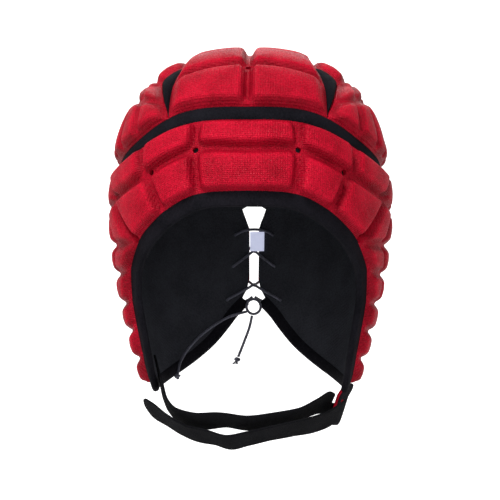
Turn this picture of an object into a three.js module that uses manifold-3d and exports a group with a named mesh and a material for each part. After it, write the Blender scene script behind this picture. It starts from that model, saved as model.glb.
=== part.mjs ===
// Rugby scrum cap: a head-shaped hood of moulded foam pads, laced at the back, with a chin strap.
// Millimetres, +Z up, the face opening looks along -Y, +X is the wearer's left.
// The origin is the inside of the crown, where the cap sits on the head.
import * as THREE from 'three';
import { mergeVertices } from 'three/addons/utils/BufferGeometryUtils.js';
import Module from 'manifold-3d';

const wasm = await Module();
wasm.setup();

// Head form that every layer follows
const halfWidth = 90;
const frontReach = 103;
const backReach = 102;
const crownRise = 106;
const formCentreY = 5;
const ringRoundness = 2.2;
const domeRoundness = 2.5;
const dropPerDegree = 1.7;
const taperDrop = 125;
const taper = {
  side: { share: 0.28, power: 1.6 },
  front: { share: 0.20, power: 1.6 },
  back: { share: 0.34, power: 1.5 },
};

// Layers, measured outwards from the head form
const liningThickness = 1.2;
const liningDepth = 0.5;
const webInside = 1.3;
const webThickness = 1.5;
const padRise = 7;
const bandThickness = 1.6;
const seamInset = 0.35;
const gussetMargin = 1.1;
const grooveInset = 1.2;
const shoulderWidth = 4.2;
const shoulderShare = 0.96;
const wideCell = 45;

// Trim, openings and cords
const faceBindingWidth = 8.5;
const neckBindingWidth = 6;
const bindingClearance = 0.7;
const bindingThickness = 4.6;
const ventDiameter = 4;
const eyeletDiameter = 4.8;
const earWidth = 26;
const earHeight = 32;
const labelWidth = 11;
const labelHeight = 14.5;
const labelThickness = 0.7;
const labelClearance = 0.8;
const laceDiameter = 2;
const laceClearance = 0.6;
const knotDiameter = 12.5;
const tipDiameter = 5;
const strapWidth = 20;
const strapThickness = 1.6;
const strapClearance = 0.4;
const strapFrontReach = 77;
const strapDrop = 155;
const strapFoldShare = 0.58;
const keeperWidth = 17;
const keeperLength = 21.5;
const keeperThickness = 3;
const keeperSlotWidth = 6;
const keeperSlotLength = 15.5;

const liningOutside = -liningDepth;
const liningInside = liningOutside - liningThickness;
const webOutside = webInside + webThickness;
const formCentreZ = -liningInside - crownRise;

const redFabric = { color: 0xb5122e, roughness: 0.75, metalness: 0 };
const blackStretch = { color: 0x16171b, roughness: 0.85, metalness: 0 };
const blackLining = { color: 0x1d1f24, roughness: 0.95, metalness: 0 };
const blackCord = { color: 0x2a2b30, roughness: 0.7, metalness: 0 };
const whiteLabel = { color: 0xd9dce8, roughness: 0.6, metalness: 0 };

const rad = THREE.MathUtils.degToRad;
const mix = THREE.MathUtils.lerp;
const cap = new THREE.Group();

// Chart of the head form: azimuth (0 is the front, 90 the wearer's left) and level. A level above 0 is
// an elevation in degrees about the form's centre, and one below 0 is a drop of dropPerDegree each.

function taperAt(side, drop) {
  return 1 - side.share * Math.pow(Math.max(drop, 0) / taperDrop, side.power);
}

// How far out a place is, where 1 lies on the head form: a superellipse ring under a rounded dome
function reachOf(x, y, z) {
  const across = x / halfWidth;
  const along = (y - formCentreY) / (y < formCentreY ? frontReach : backReach);
  const drop = formCentreZ - z;
  if (drop > 0) {
    const alongTaper = taperAt(y < formCentreY ? taper.front : taper.back, drop);
    const widths = [across / taperAt(taper.side, drop), along / alongTaper];
    return Math.pow(widths.reduce((sum, w) => sum + Math.pow(Math.abs(w), ringRoundness), 0), 1 / ringRoundness);
  }
  const ring = Math.pow(Math.abs(across), ringRoundness) + Math.pow(Math.abs(along), ringRoundness);
  const dome = Math.pow(-drop / crownRise, domeRoundness);
  return Math.pow(Math.pow(ring, domeRoundness / ringRoundness) + dome, 1 / domeRoundness);
}

function formPoint([azimuth, level]) {
  const sine = Math.sin(rad(azimuth));
  const cosine = Math.cos(rad(azimuth));
  if (level >= 0) {
    const flat = Math.cos(rad(level));
    const ray = new THREE.Vector3(sine * flat, -cosine * flat, Math.sin(rad(level)));
    const reach = reachOf(ray.x, ray.y + formCentreY, ray.z + formCentreZ);
    return ray.divideScalar(reach).add(new THREE.Vector3(0, formCentreY, formCentreZ));
  }
  const z = formCentreZ + level * dropPerDegree;
  const reach = reachOf(sine, formCentreY - cosine, z);
  return new THREE.Vector3(sine / reach, formCentreY - cosine / reach, z);
}

function formNormal(point) {
  const step = 0.5;
  const slope = (axis) => {
    const ahead = point.clone();
    const behind = point.clone();
    ahead[axis] += step;
    behind[axis] -= step;
    return reachOf(ahead.x, ahead.y, ahead.z) - reachOf(behind.x, behind.y, behind.z);
  };
  return new THREE.Vector3(slope('x'), slope('y'), slope('z')).normalize();
}

function surfacePoint(chart, lift) {
  const point = formPoint(chart);
  return point.addScaledVector(formNormal(point), lift);
}

// Crown places are given as degrees from the top of the head, to the wearer's left and to the back
function fromCrown([left, back]) {
  return [THREE.MathUtils.radToDeg(Math.atan2(left, -back)), 90 - Math.hypot(left, back)];
}

function sameChart(chart) {
  return chart;
}

// Place on a line of chart points, a share of its length from its first point
function along(line, share) {
  const lengths = line.slice(1).map((end, i) => Math.hypot(end[0] - line[i][0], end[1] - line[i][1]));
  const total = lengths.reduce((sum, length) => sum + length, 0);
  let left = THREE.MathUtils.clamp(share, 0, 1) * total;
  let i = 0;
  while (i < lengths.length - 1 && left > lengths[i]) {
    left -= lengths[i];
    i += 1;
  }
  return [0, 1].map((k) => mix(line[i][k], line[i + 1][k], Math.min(left / lengths[i], 1)));
}

// Column value at a key in a table whose first column is sorted
function tableAt(table, key, column) {
  const last = table.length - 1;
  const next = table.findIndex((row) => row[0] >= key);
  if (next === 0) return table[0][column];
  if (next < 0) return table[last][column];
  const [before, after] = [table[next - 1], table[next]];
  return mix(before[column], after[column], (key - before[0]) / (after[0] - before[0]));
}

// Mesh helpers

function createSkin() {
  const points = [];
  const faces = [];
  return {
    points,
    faces,
    add: (point) => points.push(point) - 1,
    face(a, b, c) {
      if (a !== b && b !== c && c !== a) faces.push([a, b, c]);
    },
  };
}

function sharesAlong(points, row) {
  const sums = [0];
  for (let i = 1; i < row.length; i += 1) {
    sums.push(sums[i - 1] + points[row[i]].distanceTo(points[row[i - 1]]));
  }
  const total = sums[sums.length - 1] || 1;
  return sums.map((sum) => sum / total);
}

// Triangles between two rows of points, the second row on the left of the first
function zip(skin, first, second, inward = false) {
  const firstShares = sharesAlong(skin.points, first);
  const secondShares = sharesAlong(skin.points, second);
  const face = (a, b, c) => (inward ? skin.face(a, c, b) : skin.face(a, b, c));
  let i = 0;
  let j = 0;
  while (i < first.length - 1 || j < second.length - 1) {
    const nextFirst = i < first.length - 1 ? firstShares[i + 1] : 2;
    const nextSecond = j < second.length - 1 ? secondShares[j + 1] : 2;
    if (nextFirst <= nextSecond) {
      face(first[i], first[i + 1], second[j]);
      i += 1;
    } else {
      face(first[i], second[j + 1], second[j]);
      j += 1;
    }
  }
}

// Wall between an outer loop, counter-clockwise seen from outside, and the inner loop under it
function wallLoops(skin, outer, inner) {
  outer.forEach((corner, i) => {
    const next = (i + 1) % outer.length;
    skin.face(outer[next], corner, inner[i]);
    skin.face(outer[next], inner[i], inner[next]);
  });
}

function toGeometry(skin, mirrored = false) {
  const geometry = new THREE.BufferGeometry();
  const side = mirrored ? -1 : 1;
  const places = skin.points.flatMap((point) => [point.x * side, point.y, point.z]);
  const index = skin.faces.flatMap(([a, b, c]) => (mirrored ? [a, c, b] : [a, b, c]));
  geometry.setAttribute('position', new THREE.Float32BufferAttribute(places, 3));
  geometry.setIndex(index);
  return geometry;
}

function toSolid(geometry) {
  const bare = geometry.clone();
  bare.deleteAttribute('normal');
  bare.deleteAttribute('uv');
  const merged = mergeVertices(bare, 1e-4);
  const mesh = new wasm.Mesh({
    numProp: 3,
    vertProperties: Float32Array.from(merged.attributes.position.array),
    triVerts: Uint32Array.from(merged.index.array),
  });
  mesh.merge();
  return new wasm.Manifold(mesh);
}

function cutFrom(geometry, cutters) {
  let solid = toSolid(geometry);
  cutters.forEach((cutter) => {
    solid = solid.subtract(toSolid(cutter));
  });
  const { vertProperties, triVerts, numProp } = solid.getMesh();
  const cut = new THREE.BufferGeometry();
  const places = [];
  for (let i = 0; i < vertProperties.length; i += numProp) {
    places.push(vertProperties[i], vertProperties[i + 1], vertProperties[i + 2]);
  }
  cut.setAttribute('position', new THREE.Float32BufferAttribute(places, 3));
  cut.setIndex(Array.from(triVerts));
  return cut;
}

function addPiece(name, geometry, finish) {
  const mesh = new THREE.Mesh(geometry, new THREE.MeshStandardMaterial(finish));
  mesh.name = name;
  cap.add(mesh);
}

// Round or oval cutter that stands on the head form
function surfaceCutter(chart, width, height, sides) {
  const foot = formPoint(chart);
  const normal = formNormal(foot);
  const cutter = new THREE.CylinderGeometry(0.5, 0.5, 60, sides);
  cutter.rotateX(Math.PI / 2);
  cutter.scale(width, height, 1);
  const acrossAxis = new THREE.Vector3(0, 0, 1).cross(normal).normalize();
  const upAxis = normal.clone().cross(acrossAxis);
  cutter.applyMatrix4(new THREE.Matrix4().makeBasis(acrossAxis, upAxis, normal).setPosition(foot));
  return cutter;
}

// Padded panel: rows of pads between guide lines, a web under them and grooves between them.
// cuts holds one pair for each groove of a row: its share of the lower and of the upper line. The
// inside of a domed row has one more line of corners, through the middle of its pads.
function buildPanel({ lines, rows, chartOf = sameChart }) {
  const skin = createSkin();
  const edgeLift = webOutside - 0.4;

  const chartAt = (row, lowShare, highShare, q) => {
    const low = along(lines[row], lowShare);
    const high = along(lines[row + 1], highShare);
    return [mix(low[0], high[0], q), mix(low[1], high[1], q)];
  };
  const place = (row, lowShare, highShare, q, lift) => (
    surfacePoint(chartOf(chartAt(row, lowShare, highShare, q)), lift)
  );

  const cells = rows.map(({ cuts, bare = [], domed = true }, row) => cuts.slice(1).map((right, i) => {
    const left = cuts[i];
    const at = (p, q, lift) => place(row, mix(left[0], right[0], p), mix(left[1], right[1], p), q, lift);
    const width = at(0, 0.5, 0).distanceTo(at(1, 0.5, 0));
    const height = at(0.5, 0, 0).distanceTo(at(0.5, 1, 0));
    const between = (size) => (size > wideCell ? [0.5] : []);
    const levels = (size) => {
      const foot = grooveInset / size;
      const shoulder = Math.min((grooveInset + shoulderWidth) / size, 0.36);
      return [foot, shoulder, ...between(size), 1 - shoulder, 1 - foot];
    };
    const [across, up] = [levels(width), levels(height)];
    const middles = width > wideCell ? [0.3, 0.5, 0.7] : [0.5];
    const columns = [across[0], ...middles, across[across.length - 1]];
    const edges = [up[0], ...(domed ? [0.5] : []), up[up.length - 1]];
    return { at, width, height, across, up, columns, edges, bare: bare.includes(i) };
  }));

  const riseAt = (level, i) => {
    const fromEdge = Math.min(i, level.length - 1 - i);
    return [0, shoulderShare, 1][fromEdge];
  };

  // Boundary corners of a row at one side, at the bottom and at the top, all a little inside the seam
  const sidePlaces = (row, atEnd, lift) => {
    const cell = cells[row][atEnd ? cells[row].length - 1 : 0];
    const p = atEnd ? 1 - seamInset / cell.width : seamInset / cell.width;
    return cell.edges.map((q) => cell.at(p, q, lift));
  };
  const linePlaces = (row, q, lift) => {
    const first = cells[row][0];
    const last = cells[row][cells[row].length - 1];
    const level = (cell) => (q === 0 ? seamInset / cell.height : 1 - seamInset / cell.height);
    return [
      first.at(seamInset / first.width, level(first), lift),
      ...cells[row].flatMap((cell) => cell.columns.map((p) => cell.at(p, level(cell), lift))),
      last.at(1 - seamInset / last.width, level(last), lift),
    ];
  };

  // Outside
  const addAll = (places) => places.map((point) => skin.add(point));
  const outerBottom = addAll(linePlaces(0, 0, edgeLift));
  const outerStarts = [];
  const outerEnds = [];
  let previous = outerBottom;
  rows.forEach((unused, row) => {
    const start = addAll(sidePlaces(row, false, edgeLift));
    const end = addAll(sidePlaces(row, true, edgeLift));
    const grids = cells[row].map((cell) => {
      if (cell.bare) {
        return cell.edges.map((q) => cell.columns.map((p) => skin.add(cell.at(p, q, webOutside))));
      }
      return cell.up.map((q, j) => cell.across.map((p, i) => {
        const rise = padRise * riseAt(cell.across, i) * riseAt(cell.up, j);
        return skin.add(cell.at(p, q, webOutside + rise));
      }));
    });
    grids.forEach((grid) => {
      for (let j = 1; j < grid.length; j += 1) zip(skin, grid[j - 1], grid[j]);
    });
    const leftOf = (grid) => grid.map((line) => line[0]);
    const rightOf = (grid) => grid.map((line) => line[line.length - 1]);
    zip(skin, leftOf(grids[0]), start);
    for (let i = 1; i < grids.length; i += 1) zip(skin, leftOf(grids[i]), rightOf(grids[i - 1]));
    zip(skin, end, rightOf(grids[grids.length - 1]));
    zip(skin, previous, [start[0], ...grids.flatMap((grid) => grid[0]), end[0]]);
    previous = [start[start.length - 1], ...grids.flatMap((grid) => grid[grid.length - 1]), end[end.length - 1]];
    outerStarts.push(...start);
    outerEnds.push(...end);
  });
  const outerTop = addAll(linePlaces(rows.length - 1, 1, edgeLift));
  zip(skin, previous, outerTop);

  // Inside, with the same boundary and one line of corners under each groove
  const innerBottom = addAll(linePlaces(0, 0, webInside));
  const innerTop = addAll(linePlaces(rows.length - 1, 1, webInside));
  const innerStarts = [];
  const innerEnds = [];
  const stepUp = (from, inside, start, end) => {
    skin.face(from[0], start, inside[0]);
    skin.face(inside[inside.length - 1], end, from[from.length - 1]);
    return [start, ...inside, end];
  };
  let inside = innerBottom.slice(1, -1);
  previous = innerBottom;
  rows.forEach(({ domed = true }, row) => {
    const start = addAll(sidePlaces(row, false, webInside));
    const end = addAll(sidePlaces(row, true, webInside));
    const lineAt = (q) => cells[row].flatMap((cell) => cell.columns.map((p) => skin.add(cell.at(p, q, webInside))));
    let below = stepUp(previous, inside, start[0], end[0]);
    if (domed) {
      const middle = [start[1], ...lineAt(0.5), end[1]];
      zip(skin, below, middle, true);
      below = middle;
    }
    inside = row === rows.length - 1 ? innerTop.slice(1, -1) : lineAt(1);
    previous = [start[start.length - 1], ...inside, end[end.length - 1]];
    zip(skin, below, previous, true);
    innerStarts.push(...start);
    innerEnds.push(...end);
  });
  stepUp(previous, inside, innerTop[0], innerTop[innerTop.length - 1]);

  const loop = (bottom, ends, top, starts) => (
    [...bottom, ...ends, ...top.slice().reverse(), ...starts.slice().reverse()]
  );
  wallLoops(
    skin,
    loop(outerBottom, outerEnds, outerTop, outerStarts),
    loop(innerBottom, innerEnds, innerTop, innerStarts),
  );
  return skin;
}

// Grooves at even shares of both lines
function evenCuts(count) {
  return Array.from({ length: count + 1 }, (unused, i) => [i / count, i / count]);
}

// Slab on the head form, ruled between two chart lines, with its long edges a little inside them
function buildSlab({ low, high, steps, inside, outside, chartOf = sameChart, margin = seamInset,
  endShare = 0.02 }) {
  const skin = createSkin();
  const across = [0, 0.5, 1];
  const layer = (lift) => across.map((q) => Array.from({ length: steps + 1 }, (unused, i) => {
    const station = mix(endShare, 1 - endShare, i / steps);
    const [a, b] = [along(low, station), along(high, station)];
    const height = surfacePoint(chartOf(a), 0).distanceTo(surfacePoint(chartOf(b), 0));
    const inset = Math.min(margin / height, 0.45);
    const share = mix(inset, 1 - inset, q);
    const chart = [mix(a[0], b[0], share), mix(a[1], b[1], share)];
    return skin.add(surfacePoint(chartOf(chart), lift));
  }));
  const outer = layer(outside);
  const inner = layer(inside);
  for (let j = 1; j < across.length; j += 1) {
    zip(skin, outer[j - 1], outer[j]);
    zip(skin, inner[j - 1], inner[j], true);
  }
  const loop = (rows) => [...rows[0], rows[1][steps], ...rows[2].slice().reverse(), rows[1][0]];
  wallLoops(skin, loop(outer), loop(inner));
  return skin;
}

// Solid carried along a path: a ring of section points at each station, closed by flat ends
function buildSweep(sections, closed = false) {
  const skin = createSkin();
  const rings = sections.map((section) => section.map((point) => skin.add(point)));
  const count = rings.length;
  const joins = closed ? count : count - 1;
  for (let k = 0; k < joins; k += 1) {
    const [ring, next] = [rings[k], rings[(k + 1) % count]];
    ring.forEach((corner, i) => {
      const j = (i + 1) % ring.length;
      skin.face(corner, ring[j], next[j]);
      skin.face(corner, next[j], next[i]);
    });
  }
  if (!closed) {
    const [first, last] = [rings[0], rings[count - 1]];
    for (let i = 1; i < first.length - 1; i += 1) {
      skin.face(first[0], first[i + 1], first[i]);
      skin.face(last[0], last[i], last[i + 1]);
    }
  }
  return skin;
}

// Outlines of the cap on the chart

// Lower edge of the padded shell from the middle of the brow to the lowest point of the side flap
const faceLine = [
  // azimuth, level
  [0, 6.4], [7, 6.3], [14, 5.9], [20, 4.6], [26, 2.0], [32, -1.4], [37, -5.0], [42, -8.6], [46.5, -12.4],
  [51, -16.8], [56, -22.2], [59.2, -28.3], [62, -34.5], [63.2, -42], [64.8, -50], [68, -58], [74, -64.2],
  [80, -69.5],
];
// Lower edge from the flap's lowest point round to the lacing gap, without its binding
const neckLine = [
  // azimuth, level
  [80, -69.5], [90, -69.0], [101, -68.5], [112, -67.6], [124, -65.6], [136, -62.6], [147, -58.4],
  [156, -53.4], [163, -47.6], [169, -41.4], [174.6, -36.4],
];
// Edge of the lacing gap, from the neck up to the stretch band
const gapLine = [
  // azimuth, level
  [174.6, -36.4], [177, -32], [177.9, -26], [178, -18], [178, -8], [177.8, -5.4], [176, 0], [174.2, 5.2],
];
// Stretch band between the crown and the lower panels
const bandTable = [
  // azimuth, upper level, lower level
  [0, 37.4, 32.6], [8, 37.4, 32.6], [16, 37.2, 32.3], [24, 36.5, 31.4], [31, 35.2, 29.8], [38, 33.0, 27.4],
  [45, 30.4, 24.9], [52, 27.8, 22.6], [60, 25.6, 20.6], [70, 23.6, 18.8], [85, 21.8, 17.0], [105, 18.6, 13.6],
  [130, 14.2, 9.4], [155, 11.0, 6.3], [174.2, 9.8, 5.2], [180, 9.8, 5.2],
];

const bandLine = (column, from, to, steps) => Array.from({ length: steps + 1 }, (unused, i) => {
  const azimuth = mix(from, to, i / steps);
  return [azimuth, tableAt(bandTable, Math.abs(azimuth), column)];
});
const mirrorLine = (line) => line.map(([a, b]) => [-a, b]).reverse();
const toCrown = ([azimuth, level]) => {
  const polar = 90 - level;
  return [polar * Math.sin(rad(azimuth)), -polar * Math.cos(rad(azimuth))];
};

// Crown: a middle panel of two columns, and a side panel of three rows on each side

const bandCorner = (azimuth) => toCrown([azimuth, tableAt(bandTable, azimuth, 1)]);
const crownSeam = { front: 35.1, back: 157 };
const crownEdge = [
  // left, back
  bandCorner(crownSeam.front), [28.9, -30.6], [24.1, -12.8], [21.8, 6], [22.6, 25], [25, 44], [28.6, 62],
  bandCorner(crownSeam.back),
];
const crownMiddles = [-52.6, -33.2, -13.6, 6, 25.6, 45.2, 65, 80.2];
const crownVents = [1, 3, 5];

function buildCrownPanel() {
  const last = crownMiddles.length - 1;
  const halves = crownMiddles.map((middle, i) => {
    if (i === 0) return bandLine(1, 0, crownSeam.front, 4).map(toCrown);
    if (i === last) return bandLine(1, 180, crownSeam.back, 4).map(toCrown);
    return [[0, middle], [crownEdge[i][0] / 2, mix(middle, crownEdge[i][1], 0.2)], crownEdge[i]];
  });
  const lines = halves.map((half) => [...mirrorLine(half).slice(0, -1), ...half]);
  const rows = lines.slice(1).map(() => ({ cuts: evenCuts(2) }));
  const panel = toGeometry(buildPanel({ lines, rows, chartOf: fromCrown }));
  const vents = crownVents.map((i) => (
    surfaceCutter(fromCrown([0, crownMiddles[i]]), ventDiameter, ventDiameter, 6)
  ));
  return cutFrom(panel, vents);
}

// The side panel's rows end on the band at the back, one after the other
const crownSideEnds = { lower: 120, third: 130, second: 143 };
const gussetCorners = { tail: [31.9, -42.6], lower: [32.6, -37.2], outer: [33.4, -17.3], top: [23.8, -9.2] };
const gussetInner = [[31.6, -42.4], crownEdge[1], crownEdge[2], [23.2, -9.4]];

function buildCrownSide() {
  const lower = bandLine(1, crownSeam.front, crownSideEnds.lower, 12).map(toCrown);
  const third = [gussetCorners.lower, [38.5, -29], [43.2, -16], [45.4, 0], [48, 16], [52, 31],
    bandCorner(crownSideEnds.third)];
  const second = [gussetCorners.outer, [35.2, -8], [36.2, 2], [38, 20], [41, 38], [45, 54],
    bandCorner(crownSideEnds.second)];
  const top = [gussetCorners.top, ...crownEdge.slice(3)];
  const lines = [lower, third, second, top];
  const rows = [6, 5, 5].map((count) => ({ cuts: evenCuts(count) }));
  return buildPanel({ lines, rows, chartOf: fromCrown });
}

const crownSide = buildCrownSide();
const gusset = buildSlab({
  low: Object.values(gussetCorners),
  high: gussetInner,
  steps: 7,
  inside: webInside,
  outside: webInside + bandThickness,
  chartOf: fromCrown,
  margin: gussetMargin,
});

addPiece('crown_panel', buildCrownPanel(), redFabric);
addPiece('crown_side_left', toGeometry(crownSide), redFabric);
addPiece('crown_side_right', toGeometry(crownSide, true), redFabric);
addPiece('gusset_left', toGeometry(gusset), blackStretch);
addPiece('gusset_right', toGeometry(gusset, true), blackStretch);

// Stretch band, a closed ring between the crown and the lower panels

function buildBand() {
  const steps = 40;
  const sections = Array.from({ length: steps }, (unused, i) => {
    const azimuth = -180 + (i * 360) / steps;
    const [high, low] = [1, 2].map((column) => tableAt(bandTable, Math.abs(azimuth), column));
    const height = surfacePoint([azimuth, low], 0).distanceTo(surfacePoint([azimuth, high], 0));
    const inset = seamInset / height;
    const at = (share, lift) => surfacePoint([azimuth, mix(low, high, share)], lift);
    const outside = webInside + bandThickness;
    return [at(inset, webInside), at(inset, outside), at(0.5, outside + 0.4), at(1 - inset, outside),
      at(1 - inset, webInside)].reverse();
  });
  return buildSweep(sections, true);
}

addPiece('stretch_band', toGeometry(buildBand()), blackStretch);

// Brow panel: two rows over the face opening, five pads in each

const browSeam = { band: 85, middle: 66, face: 46 };
const browMiddle = [[0, 21.7], [19, 21.3], [28, 18.4], [38, 14.2], [50, 9.8], [browSeam.middle, 5.4]];

function buildBrow() {
  const half = faceLine.filter(([azimuth]) => azimuth < browSeam.face);
  const face = [...half, [browSeam.face, tableAt(faceLine, browSeam.face, 1)]];
  const whole = (line) => [...mirrorLine(line).slice(0, -1), ...line];
  const lines = [whole(face), whole(browMiddle), bandLine(2, -browSeam.band, browSeam.band, 28)];
  const lowerHalf = [[0, 0], [0.185, 0.208], [0.335, 0.362]];
  const upperHalf = [[0, 0], [0.185, 0.245], [0.362, 0.392]];
  const both = (cuts) => [...cuts, ...cuts.slice().reverse().map(([a, b]) => [1 - a, 1 - b])];
  const rows = [{ cuts: both(lowerHalf) }, { cuts: both(upperHalf) }];
  const panel = toGeometry(buildPanel({ lines, rows }));
  const vents = [-38, -19, 19, 38].map((azimuth) => {
    const level = tableAt(browMiddle, Math.abs(azimuth), 1);
    return surfaceCutter([azimuth, level], ventDiameter, ventDiameter, 6);
  });
  return cutFrom(panel, vents);
}

addPiece('brow_panel', buildBrow(), redFabric);

// Side panels: seven rows from the brow seam and the face opening round to the lacing gap

const earPlace = [97.5, -25.2];
const eyelets = [[171.6, -8.8], [170.4, -22.8], [166.8, -37.6]];

// Upper line of each row from the neck up, under the stretch band
const sideLines = [
  [[68, -57.8], [80, -58.6], [100, -59.4], [125, -60.2], [140.5, -61.0]],
  [[64, -46], [80, -47.4], [100, -48.6], [130, -51.4], [157.2, -52.4]],
  [[62.2, -35.5], [80, -36.2], [100, -37.4], [130, -40.4], [150, -42.4], [173.9, -37.1]],
  [[56.6, -23], [80, -24.4], [100, -25.4], [130, -28.2], [155, -30.4], [178, -28]],
  [[browSeam.face, -12], [60, -12.6], [80, -12.8], [100, -13.6], [130, -16.6], [155, -18.6], [178, -17.4]],
  [[browSeam.middle, 5.4], [80, 1.6], [100, -1.2], [130, -4.8], [155, -6.2], [178, -5.6]],
];
const laceMargin = [1, 1];
const marginShare = 0.915;
const earColumn = 2;
const seamRow = 5;
// Rows that the ear opening goes through have its column without a pad
const earCutsLow = [[0, 0], [0.12, 0.147], [0.245, 0.267], [0.395, 0.407], [0.57, 0.572], [0.74, 0.736],
  [0.915, 0.901], laceMargin];
const earCutsHigh = [[0, 0], [0.147, 0.163], [0.267, 0.323], [0.407, 0.452], [0.572, 0.604], [0.736, 0.756],
  [0.901, 0.909], laceMargin];

function marginCuts(count) {
  return [...evenCuts(count).map(([a, b]) => [a * marginShare, b * marginShare]), laceMargin];
}

function buildSide() {
  const bottom = [...neckLine.filter(([azimuth]) => azimuth < 140), [140.5, -61.2]];
  const lines = [bottom, ...sideLines, bandLine(2, browSeam.band, 174.2, 16)];
  const rows = [
    { cuts: evenCuts(3) },
    { cuts: evenCuts(4) },
    { cuts: evenCuts(5) },
    { cuts: earCutsLow, bare: [earColumn, 6] },
    { cuts: earCutsHigh, bare: [earColumn, 6] },
    { cuts: marginCuts(6), bare: [6] },
    { cuts: marginCuts(5), bare: [5] },
  ].map((row, i) => ({ ...row, domed: i === seamRow }));
  return toGeometry(buildPanel({ lines, rows }));
}

const earCutter = surfaceCutter(earPlace, earWidth, earHeight, 10);
const eyeletCutters = eyelets.map((place) => surfaceCutter(place, eyeletDiameter, eyeletDiameter, 8));
const sideCutters = [earCutter, ...eyeletCutters];
const sideGeometry = cutFrom(buildSide(), sideCutters);

function mirrorGeometry(geometry) {
  const mirrored = geometry.clone();
  mirrored.scale(-1, 1, 1);
  const index = Array.from(mirrored.index.array);
  for (let i = 0; i < index.length; i += 3) [index[i + 1], index[i + 2]] = [index[i + 2], index[i + 1]];
  mirrored.setIndex(index);
  return mirrored;
}

addPiece('side_panel_left', sideGeometry, redFabric);
addPiece('side_panel_right', mirrorGeometry(sideGeometry), redFabric);

// Lining: one knitted hood under all the panels, open at the face, the neck and the lacing gap

const slitTop = 5.2;
const liningEdge = [...faceLine, ...neckLine.slice(1)];
const liningSetback = 0.4;
const liningColumns = [0, 14, 26, 37, 46.5, 51, 56, 59.2, 62, 64.8, 68, 74, 80, 90, 101, 112, 124, 136, 147, 156,
  163, 169, 174.6];

function gapAzimuth(level) {
  if (level > slitTop) return 180;
  const upwards = gapLine.map(([azimuth, at]) => [at, azimuth]);
  return tableAt(upwards, level, 1);
}

function buildLining() {
  const skin = createSkin();
  const columns = [...liningColumns.slice(1).reverse().map((azimuth) => -azimuth), ...liningColumns];
  const lowest = neckLine[neckLine.length - 1][1];
  const slitShare = (90 - slitTop) / (90 - lowest);
  const shares = [0.2, 0.45, slitShare - 0.002, slitShare + 0.004, 0.77, 0.875, 1];
  const wrapped = 3;
  const layer = (lift) => {
    const pole = skin.add(surfacePoint([0, 90], lift));
    const rows = shares.map((share) => columns.map((edgeAzimuth) => {
      const edgeLevel = tableAt(liningEdge, Math.abs(edgeAzimuth), 1);
      const level = 90 + (edgeLevel + liningSetback - 90) * share;
      const turn = edgeAzimuth / gapAzimuth(Math.min(edgeLevel, slitTop));
      return skin.add(surfacePoint([turn * gapAzimuth(level), level], lift));
    }));
    rows.slice(0, wrapped).forEach((row) => {
      row[row.length - 1] = row[0];
    });
    return { pole, rows };
  };
  const outer = layer(liningOutside);
  const inner = layer(liningInside);
  const cover = ({ pole, rows }, inward) => {
    zip(skin, rows[0], rows[0].map(() => pole), inward);
    for (let k = 1; k < rows.length; k += 1) zip(skin, rows[k], rows[k - 1], inward);
  };
  cover(outer, false);
  cover(inner, true);
  const loopOf = ({ rows }) => {
    const ends = rows.slice(wrapped - 1, -1);
    return [
      ...rows[rows.length - 1],
      ...ends.map((row) => row[row.length - 1]).reverse(),
      ...ends.slice(1).map((row) => row[0]),
    ];
  };
  wallLoops(skin, loopOf(outer), loopOf(inner));
  return toGeometry(skin);
}

const mirroredCutters = sideCutters.map(mirrorGeometry);
addPiece('lining', cutFrom(buildLining(), [...sideCutters, ...mirroredCutters]), blackLining);

// Bindings: a padded strip beyond the edge of the panels and the lining

function edgeStations() {
  const half = [...faceLine, ...neckLine.slice(1)];
  const path = [...mirrorLine(half).slice(0, -1), ...half];
  return path.map((chart, i) => {
    const before = formPoint(path[Math.max(i - 1, 0)]);
    const after = formPoint(path[Math.min(i + 1, path.length - 1)]);
    const foot = formPoint(chart);
    const normal = formNormal(foot);
    const along3d = after.sub(before).normalize();
    const away = along3d.clone().cross(normal).normalize();
    return { foot, normal, along3d, away };
  });
}

function bindingSection({ foot, normal, along3d, away }, width, shift = 0) {
  const middle = (webOutside + liningInside) / 2;
  const half = bindingThickness / 2;
  const end = bindingClearance + width;
  const round = half * 0.7;
  return [
    [bindingClearance, middle + half], [end - round, middle + half], [end, middle],
    [end - round, middle - half], [bindingClearance, middle - half],
  ].map(([out, lift]) => foot.clone().addScaledVector(away, out).addScaledVector(normal, lift)
    .addScaledVector(along3d, shift));
}

const stations = edgeStations();
const tipStation = neckLine.length - 1;
const faceStations = stations.slice(tipStation, stations.length - tipStation);
const neckStations = stations.slice(stations.length - 1 - tipStation);
const bindingGap = 0.5;
const faceSections = faceStations.map((station) => bindingSection(station, faceBindingWidth));
const neckSections = neckStations.map((station, i) => (
  bindingSection(station, neckBindingWidth, i === 0 ? bindingGap : 0)
));
const neckBinding = buildSweep(neckSections);
addPiece('face_binding', toGeometry(buildSweep(faceSections)), blackStretch);
addPiece('neck_binding_left', toGeometry(neckBinding), blackStretch);
addPiece('neck_binding_right', toGeometry(neckBinding, true), blackStretch);

// Bare label inside the cap, sewn beside the gap and reaching across it

function buildLabel() {
  const degreesAcross = THREE.MathUtils.radToDeg(labelWidth / backReach);
  const degreesDown = labelHeight / dropPerDegree;
  const [right, top] = [181.7, -7.4];
  const corners = (level) => [[right - degreesAcross, level], [right, level]];
  const outside = liningInside - labelClearance;
  return buildSlab({
    low: corners(top - degreesDown), high: corners(top), steps: 3, inside: outside - labelThickness, outside,
  });
}

addPiece('label', toGeometry(buildLabel()), whiteLabel);

// Strap keeper: a slotted tab under the wearer's left side flap

const keeperAzimuth = 82;
const keeperTurn = 20;
const keeperSlotDrop = 2.8;

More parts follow.
